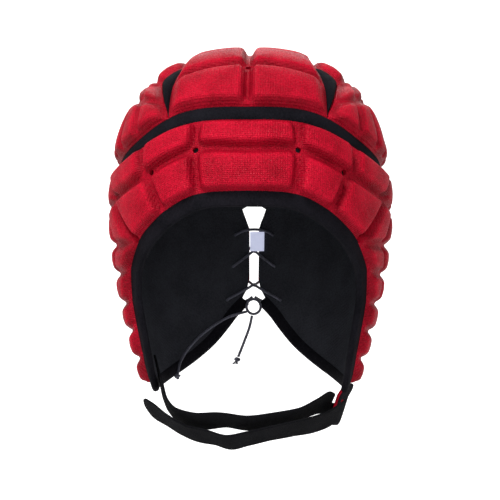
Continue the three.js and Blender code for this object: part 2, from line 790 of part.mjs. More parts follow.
function keeperFrame() {
  const level = tableAt(liningEdge, keeperAzimuth, 1);
  const foot = surfacePoint([keeperAzimuth, level], (webOutside + liningInside) / 2);
  const up = foot.clone().sub(surfacePoint([keeperAzimuth, level - 2], (webOutside + liningInside) / 2)).normalize();
  const out = formNormal(foot).applyAxisAngle(new THREE.Vector3(0, 0, 1), rad(-keeperTurn));
  const back = up.clone().cross(out).normalize();
  out.crossVectors(back, up).normalize();
  const top = foot.addScaledVector(up, -(bindingClearance + faceBindingWidth + strapClearance));
  return { top, up, out, back };
}

const keeper = keeperFrame();
const keeperPoint = (forward, down, outward) => keeper.top.clone().addScaledVector(keeper.back, -forward)
  .addScaledVector(keeper.up, -down).addScaledVector(keeper.out, outward);

function buildKeeper() {
  const round = 5;
  const half = keeperWidth / 2;
  const outline = new THREE.Shape();
  outline.moveTo(-half, 0);
  outline.lineTo(-half, -keeperLength + round);
  outline.quadraticCurveTo(-half, -keeperLength, -half + round, -keeperLength);
  outline.lineTo(half - round, -keeperLength);
  outline.quadraticCurveTo(half, -keeperLength, half, -keeperLength + round);
  outline.lineTo(half, 0);
  outline.closePath();
  const slot = new THREE.Path();
  const slotHalf = keeperSlotWidth / 2;
  slot.moveTo(-slotHalf, -keeperSlotDrop);
  slot.lineTo(slotHalf, -keeperSlotDrop);
  slot.lineTo(slotHalf, -keeperSlotDrop - keeperSlotLength);
  slot.lineTo(-slotHalf, -keeperSlotDrop - keeperSlotLength);
  slot.closePath();
  outline.holes.push(slot);
  const plate = new THREE.ExtrudeGeometry(outline, { depth: keeperThickness, bevelEnabled: false, curveSegments: 3 });
  plate.translate(0, 0, -keeperThickness / 2);
  plate.applyMatrix4(new THREE.Matrix4().makeBasis(keeper.back, keeper.up, keeper.out).setPosition(keeper.top));
  return plate;
}

addPiece('strap_keeper', buildKeeper(), redFabric);

// Chin strap: sewn inside the wearer's right flap, carried under the chin, folded round the keeper's
// front bar and back to its free end. Reach is a share of the strap's own reach, drop of strapDrop.

const strapThere = [
  // azimuth, reach, drop, tilt, width share
  [-84, 0.97, 0.700, 78, 1], [-78, 0.94, 0.765, 80, 1], [-70, 0.925, 0.812, 78, 1], [-57, 0.95, 0.856, 62, 1],
  [-42, 0.99, 0.892, 44, 1], [-28, 1.0, 0.902, 36, 1], [-14, 1.0, 0.893, 32, 1], [0, 1.0, 0.905, 32, 1],
  [14, 1.0, 0.893, 33, 1], [28, 1.0, 0.878, 36, 1], [40, 0.99, 0.850, 44, 1], [50, 0.975, 0.832, 54, 0.95],
  [60, 0.945, 0.840, 63, 0.8],
];
const strapBack = [
  // azimuth, reach, drop, tilt, width share
  [64, 1.04, 0.872, 66, 0.8], [55, 1.03, 0.892, 58, 0.95], [46, 1.02, 0.910, 48, 1], [30, 1.02, 0.928, 38, 1],
  [14, 1.0, 0.948, 34, 1], [0, 0.985, 0.972, 32, 1], [-11, 0.98, 0.989, 32, 1], [-22, 0.985, 0.970, 34, 1],
  [-34, 1.0, 0.957, 38, 1], [-46, 1.03, 0.925, 46, 1], [-58, 1.05, 0.890, 54, 0.95], [-68, 1.075, 0.872, 60, 0.85],
  [-77, 1.10, 0.862, 64, 0.6],
];

const strapRootLevel = -64;
const strapHalfSpan = surfacePoint([90, strapRootLevel], liningInside - strapClearance).x - strapThickness / 2;

function strapStation([azimuth, reach, drop, tilt, share]) {
  const [sine, cosine] = [Math.sin(rad(azimuth)), Math.cos(rad(azimuth))];
  const place = new THREE.Vector3(
    strapHalfSpan * reach * sine,
    -strapFrontReach * reach * cosine,
    formCentreZ - strapDrop * drop,
  );
  const across = new THREE.Vector3(sine * Math.cos(rad(tilt)), -cosine * Math.cos(rad(tilt)), Math.sin(rad(tilt)));
  return { place, across, width: strapWidth * share };
}

// Stations round the keeper's front bar: in along its inside, through the slot, and out again
function foldStations() {
  const half = keeperThickness / 2 + strapClearance + strapThickness / 2;
  const through = keeperSlotWidth / 2 - strapClearance - strapThickness / 2;
  const down = keeperSlotDrop + keeperSlotLength - strapWidth * strapFoldShare / 2 - strapClearance;
  const barFront = keeperWidth / 2;
  return [
    [barFront + 2, -half - 0.6], [keeperSlotWidth / 2 + 1.4, -half], [through + 0.5, -half * 0.8],
    [through, 0], [through + 0.5, half * 0.8], [keeperSlotWidth / 2 + 1.4, half], [barFront + 2, half + 0.6],
  ].map(([forward, outward]) => ({
    place: keeperPoint(forward, down, outward), across: keeper.up.clone(), width: strapWidth * strapFoldShare,
  }));
}

function buildStrap() {
  const knots = [...strapThere.map(strapStation), ...foldStations(), ...strapBack.map(strapStation)];
  const route = new THREE.CatmullRomCurve3(knots.map((knot) => knot.place), false, 'centripetal');
  const steps = (knots.length - 1) * 2;
  const sections = Array.from({ length: steps + 1 }, (unused, i) => {
    const share = i / steps;
    const at = share * (knots.length - 1);
    const [before, after] = [knots[Math.floor(at)], knots[Math.min(Math.floor(at) + 1, knots.length - 1)]];
    const blend = at - Math.floor(at);
    const across = before.across.clone().lerp(after.across, blend).normalize();
    const face = route.getTangent(share).cross(across).normalize();
    const half = mix(before.width, after.width, blend) / 2;
    return [[-1, -1], [1, -1], [1, 1], [-1, 1]].map(([side, layer]) => route.getPoint(share)
      .addScaledVector(across, side * half).addScaledVector(face, layer * strapThickness / 2));
  });
  return buildSweep(sections);
}

addPiece('chin_strap', toGeometry(buildStrap()), blackStretch);

// Lace: one cord through the eyelets, crossing twice in the gap, with its knot and two free ends.
// Places are degrees to the wearer's left of the back's middle, the level, and the depth, where 0 lies
// on the inside of the lining and 1 on the outside of the panels.

const laceInside = liningInside - laceClearance - laceDiameter / 2;
const laceOutside = webOutside + laceClearance + laceDiameter / 2;
const lacePlace = ([left, level, depth]) => (
  surfacePoint([180 - left, level], mix(laceInside, laceOutside, depth))
);
const upperCrossing = [0, -15.6];
const lowerCrossing = [0, -30.4];
const crossingDepth = { near: 0.36, far: 0.72 };

// One strand, from beside the middle of the top bar to the knot
function laceStrand(first, second) {
  const [one, two, three] = eyelets.map(([azimuth, level]) => [180 - azimuth, level]);
  return [
    [4.4, -6.9, 0], [one[0] - 0.6, one[1] + 0.3, 0], [one[0], one[1], 0.5], [one[0] - 0.5, one[1] - 0.3, 1],
    [5.4, -11.2, 1], [2.7, -13.3, 1], [1.2, -14.6, 0.9], [...upperCrossing, first], [-1.2, -16.6, 0.1],
    [-2.8, -18, 0], [-6, -20.4, 0], [0.6 - two[0], two[1] + 0.3, 0], [-two[0], two[1], 0.5],
    [0.5 - two[0], two[1] - 0.4, 1],
    [-6, -25.8, 1], [-2.8, -28.1, 1], [-1.2, -29.4, 0.9], [...lowerCrossing, second], [1.2, -31.4, 0.1],
    [2.9, -32.5, 0], [7.4, -34.8, 0], [three[0] - 0.6, three[1] + 0.3, 0], [three[0], three[1], 0.5],
    [three[0] - 0.5, three[1] - 0.2, 1],
    [9.4, -37.9, 1.05], [5.6, -37.4, 1.05], [2.6, -36.4, 0.95], [1.3, -36.2, 0.4], [1.0, -36.7, -0.2],
  ];
}

const laceRoute = [
  ...laceStrand(crossingDepth.near, crossingDepth.far).reverse(),
  [0, -6.3, 0],
  ...laceStrand(crossingDepth.far, crossingDepth.near).map(([left, level, depth]) => [-left, level, depth]),
].map(lacePlace);

function buildCord(points, stepLength) {
  const curve = new THREE.CatmullRomCurve3(points, false, 'centripetal');
  const section = new THREE.Shape();
  section.absarc(0, 0, laceDiameter / 2, 0, Math.PI * 2);
  return new THREE.ExtrudeGeometry(section, {
    steps: Math.round(curve.getLength() / stepLength), curveSegments: 4, bevelEnabled: false, extrudePath: curve,
  });
}

const knotPlace = lacePlace([0, -36.7, -0.25]).add(new THREE.Vector3(0, 0, -knotDiameter / 2 - 0.7));
const fromKnot = ([left, up, back]) => knotPlace.clone().add(new THREE.Vector3(left, back, up));
const longEndRoute = [
  fromKnot([-5.6, -3.9, 0]),
  ...[[-6, -43.4, -0.15], [-12.5, -45, -0.1], [-21, -48.6, -0.1], [-30, -53, -0.1], [-38, -57.4, -0.1],
    [-46, -61.8, -0.2], [-53.5, -65.8, -0.4], [-60, -69.4, -0.6]].map(lacePlace),
];
const shortEndRoute = [[-1.2, -6.8, 0], [-3, -15, 0], [-6.8, -25.5, 0], [-11.5, -37.5, 0]].map(fromKnot);

function buildTip(route, size) {
  const [last, before] = [route[route.length - 1], route[route.length - 2]];
  const onwards = last.clone().sub(before).normalize();
  const tip = new THREE.SphereGeometry(size / 2, 8, 5);
  tip.applyQuaternion(new THREE.Quaternion().setFromUnitVectors(new THREE.Vector3(0, 1, 0), onwards));
  const seat = last.clone().addScaledVector(onwards, size / 2 + tipClearance);
  tip.translate(seat.x, seat.y, seat.z);
  return tip;
}

const tipClearance = 0.3;
const laceStep = 2.8 * laceDiameter;
const knot = new THREE.TorusGeometry(knotDiameter / 2 - laceDiameter / 2, laceDiameter / 2, 6, 12);
knot.rotateX(Math.PI / 2);
knot.translate(knotPlace.x, knotPlace.y, knotPlace.z);
addPiece('lace', buildCord(laceRoute, laceStep), blackCord);
addPiece('lace_knot', knot, blackCord);
addPiece('lace_end_long', buildCord(longEndRoute, laceStep), blackCord);
addPiece('lace_end_short', buildCord(shortEndRoute, laceStep), blackCord);
addPiece('lace_tip_knot', buildTip(longEndRoute, tipDiameter), blackCord);
addPiece('lace_tip_fray', buildTip(shortEndRoute, tipDiameter), blackCord);

export default cap;
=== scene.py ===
import math
import bpy
import numpy as np
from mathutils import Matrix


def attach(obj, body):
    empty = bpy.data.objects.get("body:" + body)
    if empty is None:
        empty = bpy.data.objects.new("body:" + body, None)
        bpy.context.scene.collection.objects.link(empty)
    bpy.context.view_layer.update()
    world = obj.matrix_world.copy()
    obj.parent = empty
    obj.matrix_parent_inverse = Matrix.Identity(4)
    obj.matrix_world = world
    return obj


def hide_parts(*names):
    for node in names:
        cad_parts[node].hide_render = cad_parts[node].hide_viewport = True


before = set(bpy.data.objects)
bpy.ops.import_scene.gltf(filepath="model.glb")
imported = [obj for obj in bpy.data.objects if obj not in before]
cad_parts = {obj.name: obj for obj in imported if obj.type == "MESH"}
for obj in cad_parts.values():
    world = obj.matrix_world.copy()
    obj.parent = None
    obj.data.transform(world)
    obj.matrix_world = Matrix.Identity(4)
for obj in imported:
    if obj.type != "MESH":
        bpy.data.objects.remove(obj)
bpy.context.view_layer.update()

scene = bpy.context.scene
root = "root"

# Camera: level with the face opening, a touch to the wearer's left
camera = {"turn": 1.5, "distance": 1.4, "lens": 144.0, "sensor": 36.0, "height": -0.13005, "aside": -0.00035}


# Camera on a level circle round the cap, shifted a little along its own picture plane
def makeCamera():
    turn = math.radians(camera["turn"])
    data = bpy.data.cameras.new("camera")
    data.lens = camera["lens"]
    data.sensor_width = camera["sensor"]
    data.clip_start = 0.05
    data.clip_end = 30.0
    made = bpy.data.objects.new("camera", data)
    scene.collection.objects.link(made)
    made.location = (camera["distance"] * math.sin(turn) + camera["aside"] * math.cos(turn),
                     -camera["distance"] * math.cos(turn) + camera["aside"] * math.sin(turn),
                     camera["height"])
    made.rotation_euler = (math.radians(90), 0, turn)
    scene.camera = made


makeCamera()

# Head form in millimetres: a superellipse ring under a rounded dome, narrower towards the neck
form = {"halfWidth": 90, "front": 103, "back": 102, "rise": 106, "centreY": 5, "centreZ": -104.3,
        "ringPower": 2.2, "domePower": 2.5, "dropPerDegree": 1.7, "taperDrop": 125,
        "sideTaper": (0.28, 1.6), "frontTaper": (0.20, 1.6), "backTaper": (0.34, 1.5)}
layers = {"liningInside": -1.7, "liningOutside": -0.5, "webInside": 1.3, "webOutside": 2.8, "padRise": 7.0}


# How far out a place is: 1 on the form, from the powers of its shares of the widths at its height
def reachOf(places):
    x, y, z = places[..., 0], places[..., 1] - form["centreY"], places[..., 2]
    drop = form["centreZ"] - z
    share = np.maximum(drop, 0) / form["taperDrop"]
    sideways = 1 - form["sideTaper"][0] * share ** form["sideTaper"][1]
    ahead = 1 - form["frontTaper"][0] * share ** form["frontTaper"][1]
    behind = 1 - form["backTaper"][0] * share ** form["backTaper"][1]
    across = np.abs(x) / form["halfWidth"] / sideways
    along = np.where(y < 0, -y / form["front"] / ahead, y / form["back"] / behind)
    ring = (across ** form["ringPower"] + along ** form["ringPower"]) ** (1 / form["ringPower"])
    dome = np.maximum(-drop, 0) / form["rise"]
    return (ring ** form["domePower"] + dome ** form["domePower"]) ** (1 / form["domePower"])


# Place on the form: azimuth from the front, and an elevation above its centre or a drop below it
def formPoint(chart):
    azimuth, level = np.radians(chart[..., 0]), chart[..., 1]
    rise = np.radians(np.maximum(level, 0))
    z = np.where(level >= 0, np.sin(rise), level * form["dropPerDegree"])
    flat = np.stack([np.sin(azimuth) * np.cos(rise), -np.cos(azimuth) * np.cos(rise), z], -1)
    centre = np.array([0, form["centreY"], form["centreZ"]])
    reach = reachOf(flat + centre)
    drop = np.minimum(level, 0) * form["dropPerDegree"]
    scaled = flat / reach[..., None] + centre
    scaled[..., 2] = np.where(level >= 0, scaled[..., 2], form["centreZ"] + drop)
    return scaled


# Outward direction: the slope of the reach, from a small step to both sides on each axis
def formNormal(places, step=0.5):
    slopes = [reachOf(places + offset) - reachOf(places - offset) for offset in np.eye(3) * step]
    normal = np.stack(slopes, -1)
    return normal / np.linalg.norm(normal, axis=-1, keepdims=True)


# Place over the form: the chart's place moved out along the normal by the lift
def surfacePoint(chart, lift):
    places = formPoint(np.asarray(chart, float))
    return places + formNormal(places) * np.asarray(lift, float)[..., None]


# Degrees from the top of the head, to the left and to the back, turned into azimuth and level
def fromCrown(crown):
    left, back = crown[..., 0], crown[..., 1]
    return np.stack([np.degrees(np.arctan2(left, -back)), 90 - np.hypot(left, back)], -1)


# Azimuth and level turned back into degrees from the top of the head
def toCrown(chart):
    polar, azimuth = 90 - chart[..., 1], np.radians(chart[..., 0])
    return np.stack([polar * np.sin(azimuth), -polar * np.cos(azimuth)], -1)


# Smooth line through given points: a cubic between each two, with slopes from their neighbours
def smoothLine(points, count=160):
    points = np.asarray(points, float)
    steps = np.linalg.norm(np.diff(points, axis=0), axis=1)
    sums = np.concatenate([[0], np.cumsum(steps)])
    slopes = np.gradient(points, sums, axis=0)
    at = np.linspace(0, sums[-1], count)
    i = np.clip(np.searchsorted(sums, at, side="right") - 1, 0, len(steps) - 1)
    t = ((at - sums[i]) / steps[i])[:, None]
    length = steps[i][:, None]
    return ((1 + 2 * t) * (1 - t) ** 2 * points[i] + t * (1 - t) ** 2 * length * slopes[i]
            + t * t * (3 - 2 * t) * points[i + 1] + t * t * (t - 1) * length * slopes[i + 1])


# Places at shares of a line's length
def along(line, shares):
    sums = np.concatenate([[0], np.cumsum(np.linalg.norm(np.diff(line, axis=0), axis=1))])
    at = np.clip(shares, 0, 1) * sums[-1]
    return np.stack([np.interp(at, sums, line[:, k]) for k in range(line.shape[1])], -1)


# The line on the other side of the middle, from its last point to its first
def mirrorLine(line):
    return (np.asarray(line, float) * [-1, 1])[::-1]


# Both halves of a line, from one side through the middle to the other
def wholeLine(half):
    return np.concatenate([mirrorLine(half)[:-1], np.asarray(half, float)])


# Solid made of a face grid, the same grid further in, and walls round every open edge
def closeShell(outer, inner, faces):
    count = len(outer)
    corners = np.roll(faces, -1, axis=1)
    edges = np.stack([faces.ravel(), corners.ravel()], 1)
    edges = edges[edges[:, 0] != edges[:, 1]]
    keys = edges.min(1).astype(np.int64) * count + edges.max(1)
    first, number = np.unique(keys, return_index=True, return_counts=True)[1:]
    start, end = edges[first[number == 1]].T
    walls = np.stack([end, start, start + count, end + count], 1)
    return np.concatenate([outer, inner]), np.concatenate([faces, faces[:, ::-1] + count, walls])


# Four-cornered faces of a grid of corner numbers
def gridFaces(ids):
    return np.stack([ids[:-1, :-1], ids[:-1, 1:], ids[1:, 1:], ids[1:, :-1]], -1).reshape(-1, 4)


# Corners of a face without those that repeat
def dropDoubles(face):
    return [c for i, c in enumerate(face) if c != face[i - 1]]


# Mesh object at the origin, from places in millimetres
def makeMesh(name, places, faces, attributes=None, mirrored=False, sharp=42):
    places = np.array(places, float) / 1000
    faces = np.asarray(faces)
    if mirrored:
        places[:, 0] *= -1
        faces = faces[:, ::-1]
    same = (faces == np.roll(faces, 1, axis=1)).any(1)
    plain, odd = faces[~same], [dropDoubles(f) for f in faces[same].tolist()]
    odd = [f for f in odd if len(f) > 2]
    sizes = np.concatenate([np.full(len(plain), faces.shape[1]), [len(f) for f in odd]]).astype(np.int32)
    loops = np.concatenate([plain.ravel(), np.array([c for f in odd for c in f], int)]).astype(np.int32)
    used = np.unique(loops)
    newIndex = np.zeros(len(places), np.int32)
    newIndex[used] = np.arange(len(used))
    mesh = bpy.data.meshes.new(name)
    mesh.vertices.add(len(used))
    mesh.vertices.foreach_set("co", places[used].astype(np.float32).ravel())
    mesh.loops.add(len(loops))
    mesh.loops.foreach_set("vertex_index", newIndex[loops])
    mesh.polygons.add(len(sizes))
    mesh.polygons.foreach_set("loop_start", np.concatenate([[0], np.cumsum(sizes)[:-1]]).astype(np.int32))
    mesh.polygons.foreach_set("loop_total", sizes)
    mesh.update(calc_edges=True)
    for key, values in (attributes or {}).items():
        values = np.asarray(values, np.float32)[used]
        kind = "FLOAT_VECTOR" if values.ndim == 2 else "FLOAT"
        layer = mesh.attributes.new(key, kind, "POINT")
        layer.data.foreach_set("vector" if values.ndim == 2 else "value", values.ravel())
    mesh.polygons.foreach_set("use_smooth", np.ones(len(sizes), bool))
    mesh.set_sharp_from_angle(angle=math.radians(sharp))
    made = bpy.data.objects.new(name, mesh)
    scene.collection.objects.link(made)
    return made


# Gives a piece its material and its body, and hides the nodes that it takes the place of
def placePiece(piece, material, slot, *nodes):
    piece.data.materials.append(material)
    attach(piece, root)
    if nodes:
        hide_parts(*nodes)
    return piece


# Length walked over a grid in each direction, in millimetres, which the knit and the ribs follow
def walkGrid(grid):
    across = np.linalg.norm(np.diff(grid, axis=1), axis=2)
    upward = np.linalg.norm(np.diff(grid, axis=0), axis=2)
    u = np.concatenate([np.zeros((len(grid), 1)), np.cumsum(across, 1)], 1)
    v = np.concatenate([np.zeros((1, grid.shape[1])), np.cumsum(upward, 0)], 0)
    u -= u[:, -1:] / 2
    return np.stack([u, v, np.zeros_like(u)], -1).reshape(-1, 3)


# Distance from each place to the nearest target, worked out in batches of targets
def nearest(places, targets, batch=64):
    best = np.full(len(places), 1e9)
    for start in range(0, len(targets), batch):
        part = targets[start:start + batch]
        squares = ((places[:, None, :] - part[None]) ** 2).sum(-1).min(1)
        best = np.minimum(best, squares)
    return np.sqrt(best)


# Millimetres that count as near an opening, and the most that a corner moves, as a share of its half width
holeEdge = {"reach": 8, "mostShare": 0.5}


# Pulls grid corners near a round or oval opening onto its edge, and finds the corners inside it
def openHole(places, hole, spacing):
    centre = formPoint(np.array(hole["chart"], float))
    normal = formNormal(centre)
    acrossAxis = np.cross([0, 0, 1], normal)
    acrossAxis /= np.linalg.norm(acrossAxis)
    upAxis = np.cross(normal, acrossAxis)
    halves = np.array([hole["width"], hole["height"]]) / 2
    away = places - centre
    a, b = away @ acrossAxis / halves[0], away @ upAxis / halves[1]
    ratio = np.hypot(a, b)
    near = np.linalg.norm(away, axis=-1) < halves.max() + holeEdge["reach"]
    most = min(spacing, halves.mean() * holeEdge["mostShare"])
    border = near & (np.abs(ratio - 1) * halves.mean() < most)
    pull = np.where(border, 1 / np.maximum(ratio, 1e-6) - 1, 0)[..., None]
    moved = places + pull * (a[..., None] * halves[0] * acrossAxis + b[..., None] * halves[1] * upAxis)
    return moved, near & (ratio < 1) & ~border, border


# Moulded pads: the rise follows the distance from the grooves, with round corners and a soft crown
pads = {"spacing": 1.25, "corner": 6.5, "crown": 0.9, "edgeTuck": 1.3, "rimGroove": 1.0, "rimShoulder": 4.2,
        "leastSteps": 6, "tuckReach": 1.6, "crownReach": 6, "crownShare": 0.6, "power": 0.9, "rimShare": 1.1,
        "grooveSteps": 40, "sink": 0.2}
broadPads = {"groove": 1.7, "shoulder": 4.3, "floor": 0.1}  # flat grooves of the crown and the brow
sidePads = {"groove": 0.9, "shoulder": 5.4, "floor": 0.36}  # creases of the sides, shallower
softPads = {"groove": 0.8, "shoulder": 5.8, "floor": 0.42}  # crown sides


# Share of the full rise at a distance from a groove
def padProfile(distance, groove, shoulder):
    t = np.clip((distance - groove) / shoulder, 0, 1)
    return np.sin(t * math.pi / 2) ** pads["power"]


# The most that a pad may rise, by its distance from the panel's edge
def rimProfile(distance):
    return layers["padRise"] * pads["rimShare"] * padProfile(distance, pads["rimGroove"], pads["rimShoulder"])


# Chart grid of each row between its two guide lines, and the shares of its columns
def padRows(lines, chartOf):
    lengths = [np.linalg.norm(np.diff(surfacePoint(chartOf(line), np.zeros(len(line))), axis=0), axis=1).sum()
               for line in lines]
    columns = int(np.median(lengths) / pads["spacing"])
    shares = np.linspace(0, 1, columns + 1)
    bands = []
    for low, high in zip(lines[:-1], lines[1:]):
        places = formPoint(chartOf(np.stack([along(low, shares), along(high, shares)])))
        height = np.linalg.norm(places[1] - places[0], axis=-1).mean()
        count = max(int(height / pads["spacing"]), pads["leastSteps"])
        q = np.linspace(0, 1, count + 1)[:, None, None]
        bands.append((1 - q) * along(low, shares) + q * along(high, shares))
    return shares, bands


# One panel: rows of pads between its guide lines, which die away near the places in fade
def makePanel(name, lines, rows, chartOf, shape, holes=(), mirrored=False, fade=None, fadeReach=13.0):
    shares, bands = padRows(lines, chartOf)
    grids, rises, edges, bares = [], [], [], []
    for row, (band, spec) in enumerate(zip(bands, rows)):
        low, high = lines[row], lines[row + 1]
        cuts = np.array(spec["cuts"], float)
        places = formPoint(chartOf(band))
        flat = places.reshape(-1, 3)
        q = np.linspace(0, 1, pads["grooveSteps"])[:, None]
        grooves = []
        for lowShare, highShare in cuts:
            share = (1 - q[:, 0]) * lowShare + q[:, 0] * highShare
            grooves.append(formPoint(chartOf((1 - q) * along(low, share) + q * along(high, share))))
        fine = np.linspace(0, 1, len(shares) * 2)
        seams = [formPoint(chartOf(along(line, fine))) for line in (low, high)]
        side = nearest(flat, np.concatenate(grooves))
        line = nearest(flat, np.concatenate(seams))
        corner = pads["corner"]
        inset = np.hypot(np.maximum(corner - side, 0), np.maximum(corner - line, 0))
        distance = corner - inset + np.maximum(np.minimum(side, line) - corner, 0)
        qGrid = np.linspace(0, 1, len(band))[:, None]
        bounds = (1 - qGrid[..., None]) * cuts[:, 0] + qGrid[..., None] * cuts[:, 1]
        cell = (shares[None, :, None] > bounds).sum(-1) - 1
        bare = np.isin(cell, spec.get("bare", [])).ravel()
        beyond = np.maximum(distance - shape["groove"] - shape["shoulder"], 0)
        full = shape["floor"] + (1 - shape["floor"]) * padProfile(distance, shape["groove"], shape["shoulder"])
        rise = (layers["padRise"] - pads["crown"] * pads["crownShare"]) * full
        rise = rise + pads["crown"] * (1 - np.exp(-beyond / pads["crownReach"]))
        rise = np.where(bare, 0, rise)
        keep = slice(0 if row == 0 else 1, None)
        grids.append(places[keep])
        rises.append(rise.reshape(places.shape[:2])[keep])
        edges.append(np.where(bare, 0, distance).reshape(places.shape[:2])[keep])
        bares.append(bare.reshape(places.shape[:2])[keep])
    grid = np.concatenate(grids)
    rise, edge = np.concatenate(rises), np.concatenate(edges)
    height, width = grid.shape[:2]
    border = np.concatenate([grid[0], grid[-1], grid[:, 0], grid[:, -1]])
    flat = grid.reshape(-1, 3)
    rim = nearest(flat, border)
    rise = np.minimum(rise.ravel(), rimProfile(rim))
    bare = np.concatenate(bares).ravel()
    if bare.any():
        rise = np.minimum(rise, rimProfile(nearest(flat, flat[bare][::3])))
    if fade is not None:
        t = np.clip(nearest(flat, fade) / fadeReach, 0, 1)
        rise = rise * t * t * (3 - 2 * t)
    tuck = pads["edgeTuck"] * np.clip(1 - rim / pads["tuckReach"], 0, 1) ** 2  # the sewn edge turns down
    inside = np.zeros(len(flat), bool)
    snapped = np.zeros(len(flat), bool)
    for hole in holes:
        flat, within, onEdge = openHole(flat, hole, pads["spacing"])
        inside |= within
        snapped |= onEdge
    normal = formNormal(flat)
    outer = flat + normal * (layers["webOutside"] + rise - tuck)[:, None]
    inner = flat + normal * (layers["webInside"] - pads["sink"])
    ids = np.arange(height * width).reshape(height, width)
    faces = gridFaces(ids)
    faces = faces[~(inside[faces].any(1) | snapped[faces].all(1))]
    places, faces = closeShell(outer, inner, faces)
    weave = walkGrid(grid)
    attributes = {"weave": np.concatenate([weave, weave]),
                  "edge": np.concatenate([edge.ravel(), np.zeros(len(inner))])}
    return makeMesh(name, places, faces, attributes, mirrored)


# Sweep of closed section loops along a path, one loop for each station
def makeSweep(name, sections, closed=False, mirrored=False, sharp=42):
    sections = np.asarray(sections, float)
    count, ring = sections.shape[:2]
    ids = np.arange(count * ring).reshape(count, ring)
    if closed:
        ids = np.concatenate([ids, ids[:1]])
    around = np.roll(ids, -1, axis=1)
    faces = np.stack([ids[:-1], around[:-1], around[1:], ids[1:]], -1).reshape(-1, 4)
    places = sections.reshape(-1, 3)
    if not closed:
        centres = sections[[0, -1]].mean(1)
        places = np.concatenate([places, centres])
        first, last = count * ring, count * ring + 1
        ends = [np.stack([around[0], ids[0], np.full(ring, first), np.full(ring, first)], 1),
                np.stack([ids[-1], around[-1], np.full(ring, last), np.full(ring, last)], 1)]
        faces = np.concatenate([faces, *ends])
    walkAlong = np.concatenate([[0], np.cumsum(np.linalg.norm(np.diff(sections.mean(1), axis=0), axis=1))])
    loops = np.linalg.norm(np.diff(np.concatenate([sections, sections[:, :1]], 1), axis=1), axis=2)
    walkRound = np.concatenate([np.zeros((count, 1)), np.cumsum(loops, 1)[:, :-1]], 1)
    weave = np.stack([np.repeat(walkAlong, ring), walkRound.ravel(), np.zeros(count * ring)], 1)
    weave = np.concatenate([weave, np.zeros((len(places) - len(weave), 3))])
    return makeMesh(name, places, faces, {"weave": weave}, mirrored, sharp)


# Round tube along a line of points, its section carried without twist
def tubeSections(points, radius, sides=12):
    points = np.asarray(points, float)
    tangents = np.gradient(points, axis=0)
    tangents /= np.linalg.norm(tangents, axis=1, keepdims=True)
    normal = np.cross(tangents[0], [0.3, 0.2, 0.93])
    normals = []
    for tangent in tangents:
        normal = normal - tangent * (normal @ tangent)
        normal = normal / np.linalg.norm(normal)
        normals.append(normal)
    normals = np.array(normals)
    binormals = np.cross(tangents, normals)
    angles = np.linspace(0, 2 * math.pi, sides, endpoint=False)
    radii = np.broadcast_to(np.asarray(radius, float), (len(points),))[:, None, None]
    return (points[:, None] + radii * (np.cos(angles)[None, :, None] * normals[:, None]
                                       + np.sin(angles)[None, :, None] * binormals[:, None]))


# Materials


# Material with its shader and the lists of its nodes and links
def nodeTree(name, roughness):
    material = bpy.data.materials.new(name)
    material.use_nodes = True
    nodes, links = material.node_tree.nodes, material.node_tree.links
    shader = nodes["Principled BSDF"]
    shader.inputs["Roughness"].default_value = roughness
    return material, nodes, links, shader


# New node with its operation, its fixed inputs and its settings
def addNode(nodes, kind, operation=None, values=(), **settings):
    node = nodes.new(kind)
    if operation:
        node.operation = operation
    for key, value in settings.items():
        setattr(node, key, value)
    for i, value in values:
        node.inputs[i].default_value = value
    return node


# Math node over a source and one or two fixed values
def chain(nodes, links, source, operation, value, value2=None):
    node = addNode(nodes, "ShaderNodeMath", operation, [(1, value)])
    if value2 is not None:
        node.inputs[2].default_value = value2
    links.new(source, node.inputs[0])
    return node.outputs[0]


# Noise of a given scale over a vector
def noiseOf(nodes, links, vector, scale, detail=2.0, roughness=0.5):
    node = addNode(nodes, "ShaderNodeTexNoise")
    node.inputs["Scale"].default_value = scale
    node.inputs["Detail"].default_value = detail
    node.inputs["Roughness"].default_value = roughness
    links.new(vector, node.inputs["Vector"])
    return node.outputs["Fac"]


# Sine ribs across one direction of the walked grid, so many millimetres apart
def ribsOf(nodes, links, axis, period):
    wave = chain(nodes, links, axis, "MULTIPLY", 2 * math.pi / period)
    return chain(nodes, links, wave, "SINE", 0)


# Bump worked out from a height, into the shader
def bumpInto(nodes, links, shader, height, strength, distance):
    bump = addNode(nodes, "ShaderNodeBump")
    bump.inputs["Strength"].default_value = strength
    bump.inputs["Distance"].default_value = distance
    links.new(height, bump.inputs["Height"])
    links.new(bump.outputs["Normal"], shader.inputs["Normal"])


# Colour ramp through stops, each a position and a colour
def rampOf(nodes, links, source, stops):
    ramp = addNode(nodes, "ShaderNodeValToRGB")
    while len(ramp.color_ramp.elements) < len(stops):
        ramp.color_ramp.elements.new(0.5)
    for element, (at, colour) in zip(ramp.color_ramp.elements, stops):
        element.position = at
        element.color = (*colour, 1)
    links.new(source, ramp.inputs["Fac"])
    return ramp.outputs["Color"]


# Math node over two sources
def addMath(nodes, links, operation, one, two):
    node = addNode(nodes, "ShaderNodeMath", operation)
    links.new(one, node.inputs[0])
    links.new(two, node.inputs[1])
    return node.outputs[0]


# Painted shade and highlight: reach in millimetres from a groove, and stops of share and brightness
paintedShadeAndHighlight = {"reach": 8.0,
                 "stops": [(0.0, 0.86), (0.2, 0.7), (0.38, 0.7), (0.58, 1.0), (0.72, 1.14), (1.0, 1.0)]}


# Colour times painted shade and painted highlight that follow the distance from a groove: painted shade on the
# shoulders, painted highlight on the rims
def paintShadeAndHighlight(nodes, links, colour):
    edge = addNode(nodes, "ShaderNodeAttribute", attribute_name="edge")
    share = chain(nodes, links, edge.outputs["Fac"], "DIVIDE", paintedShadeAndHighlight["reach"])
    shade = rampOf(nodes, links, share, [(at, (level,) * 3) for at, level in paintedShadeAndHighlight["stops"]])
    product = addNode(nodes, "ShaderNodeVectorMath", "MULTIPLY")
    links.new(colour, product.inputs[0])
    links.new(shade, product.inputs[1])
    return product.outputs[0]


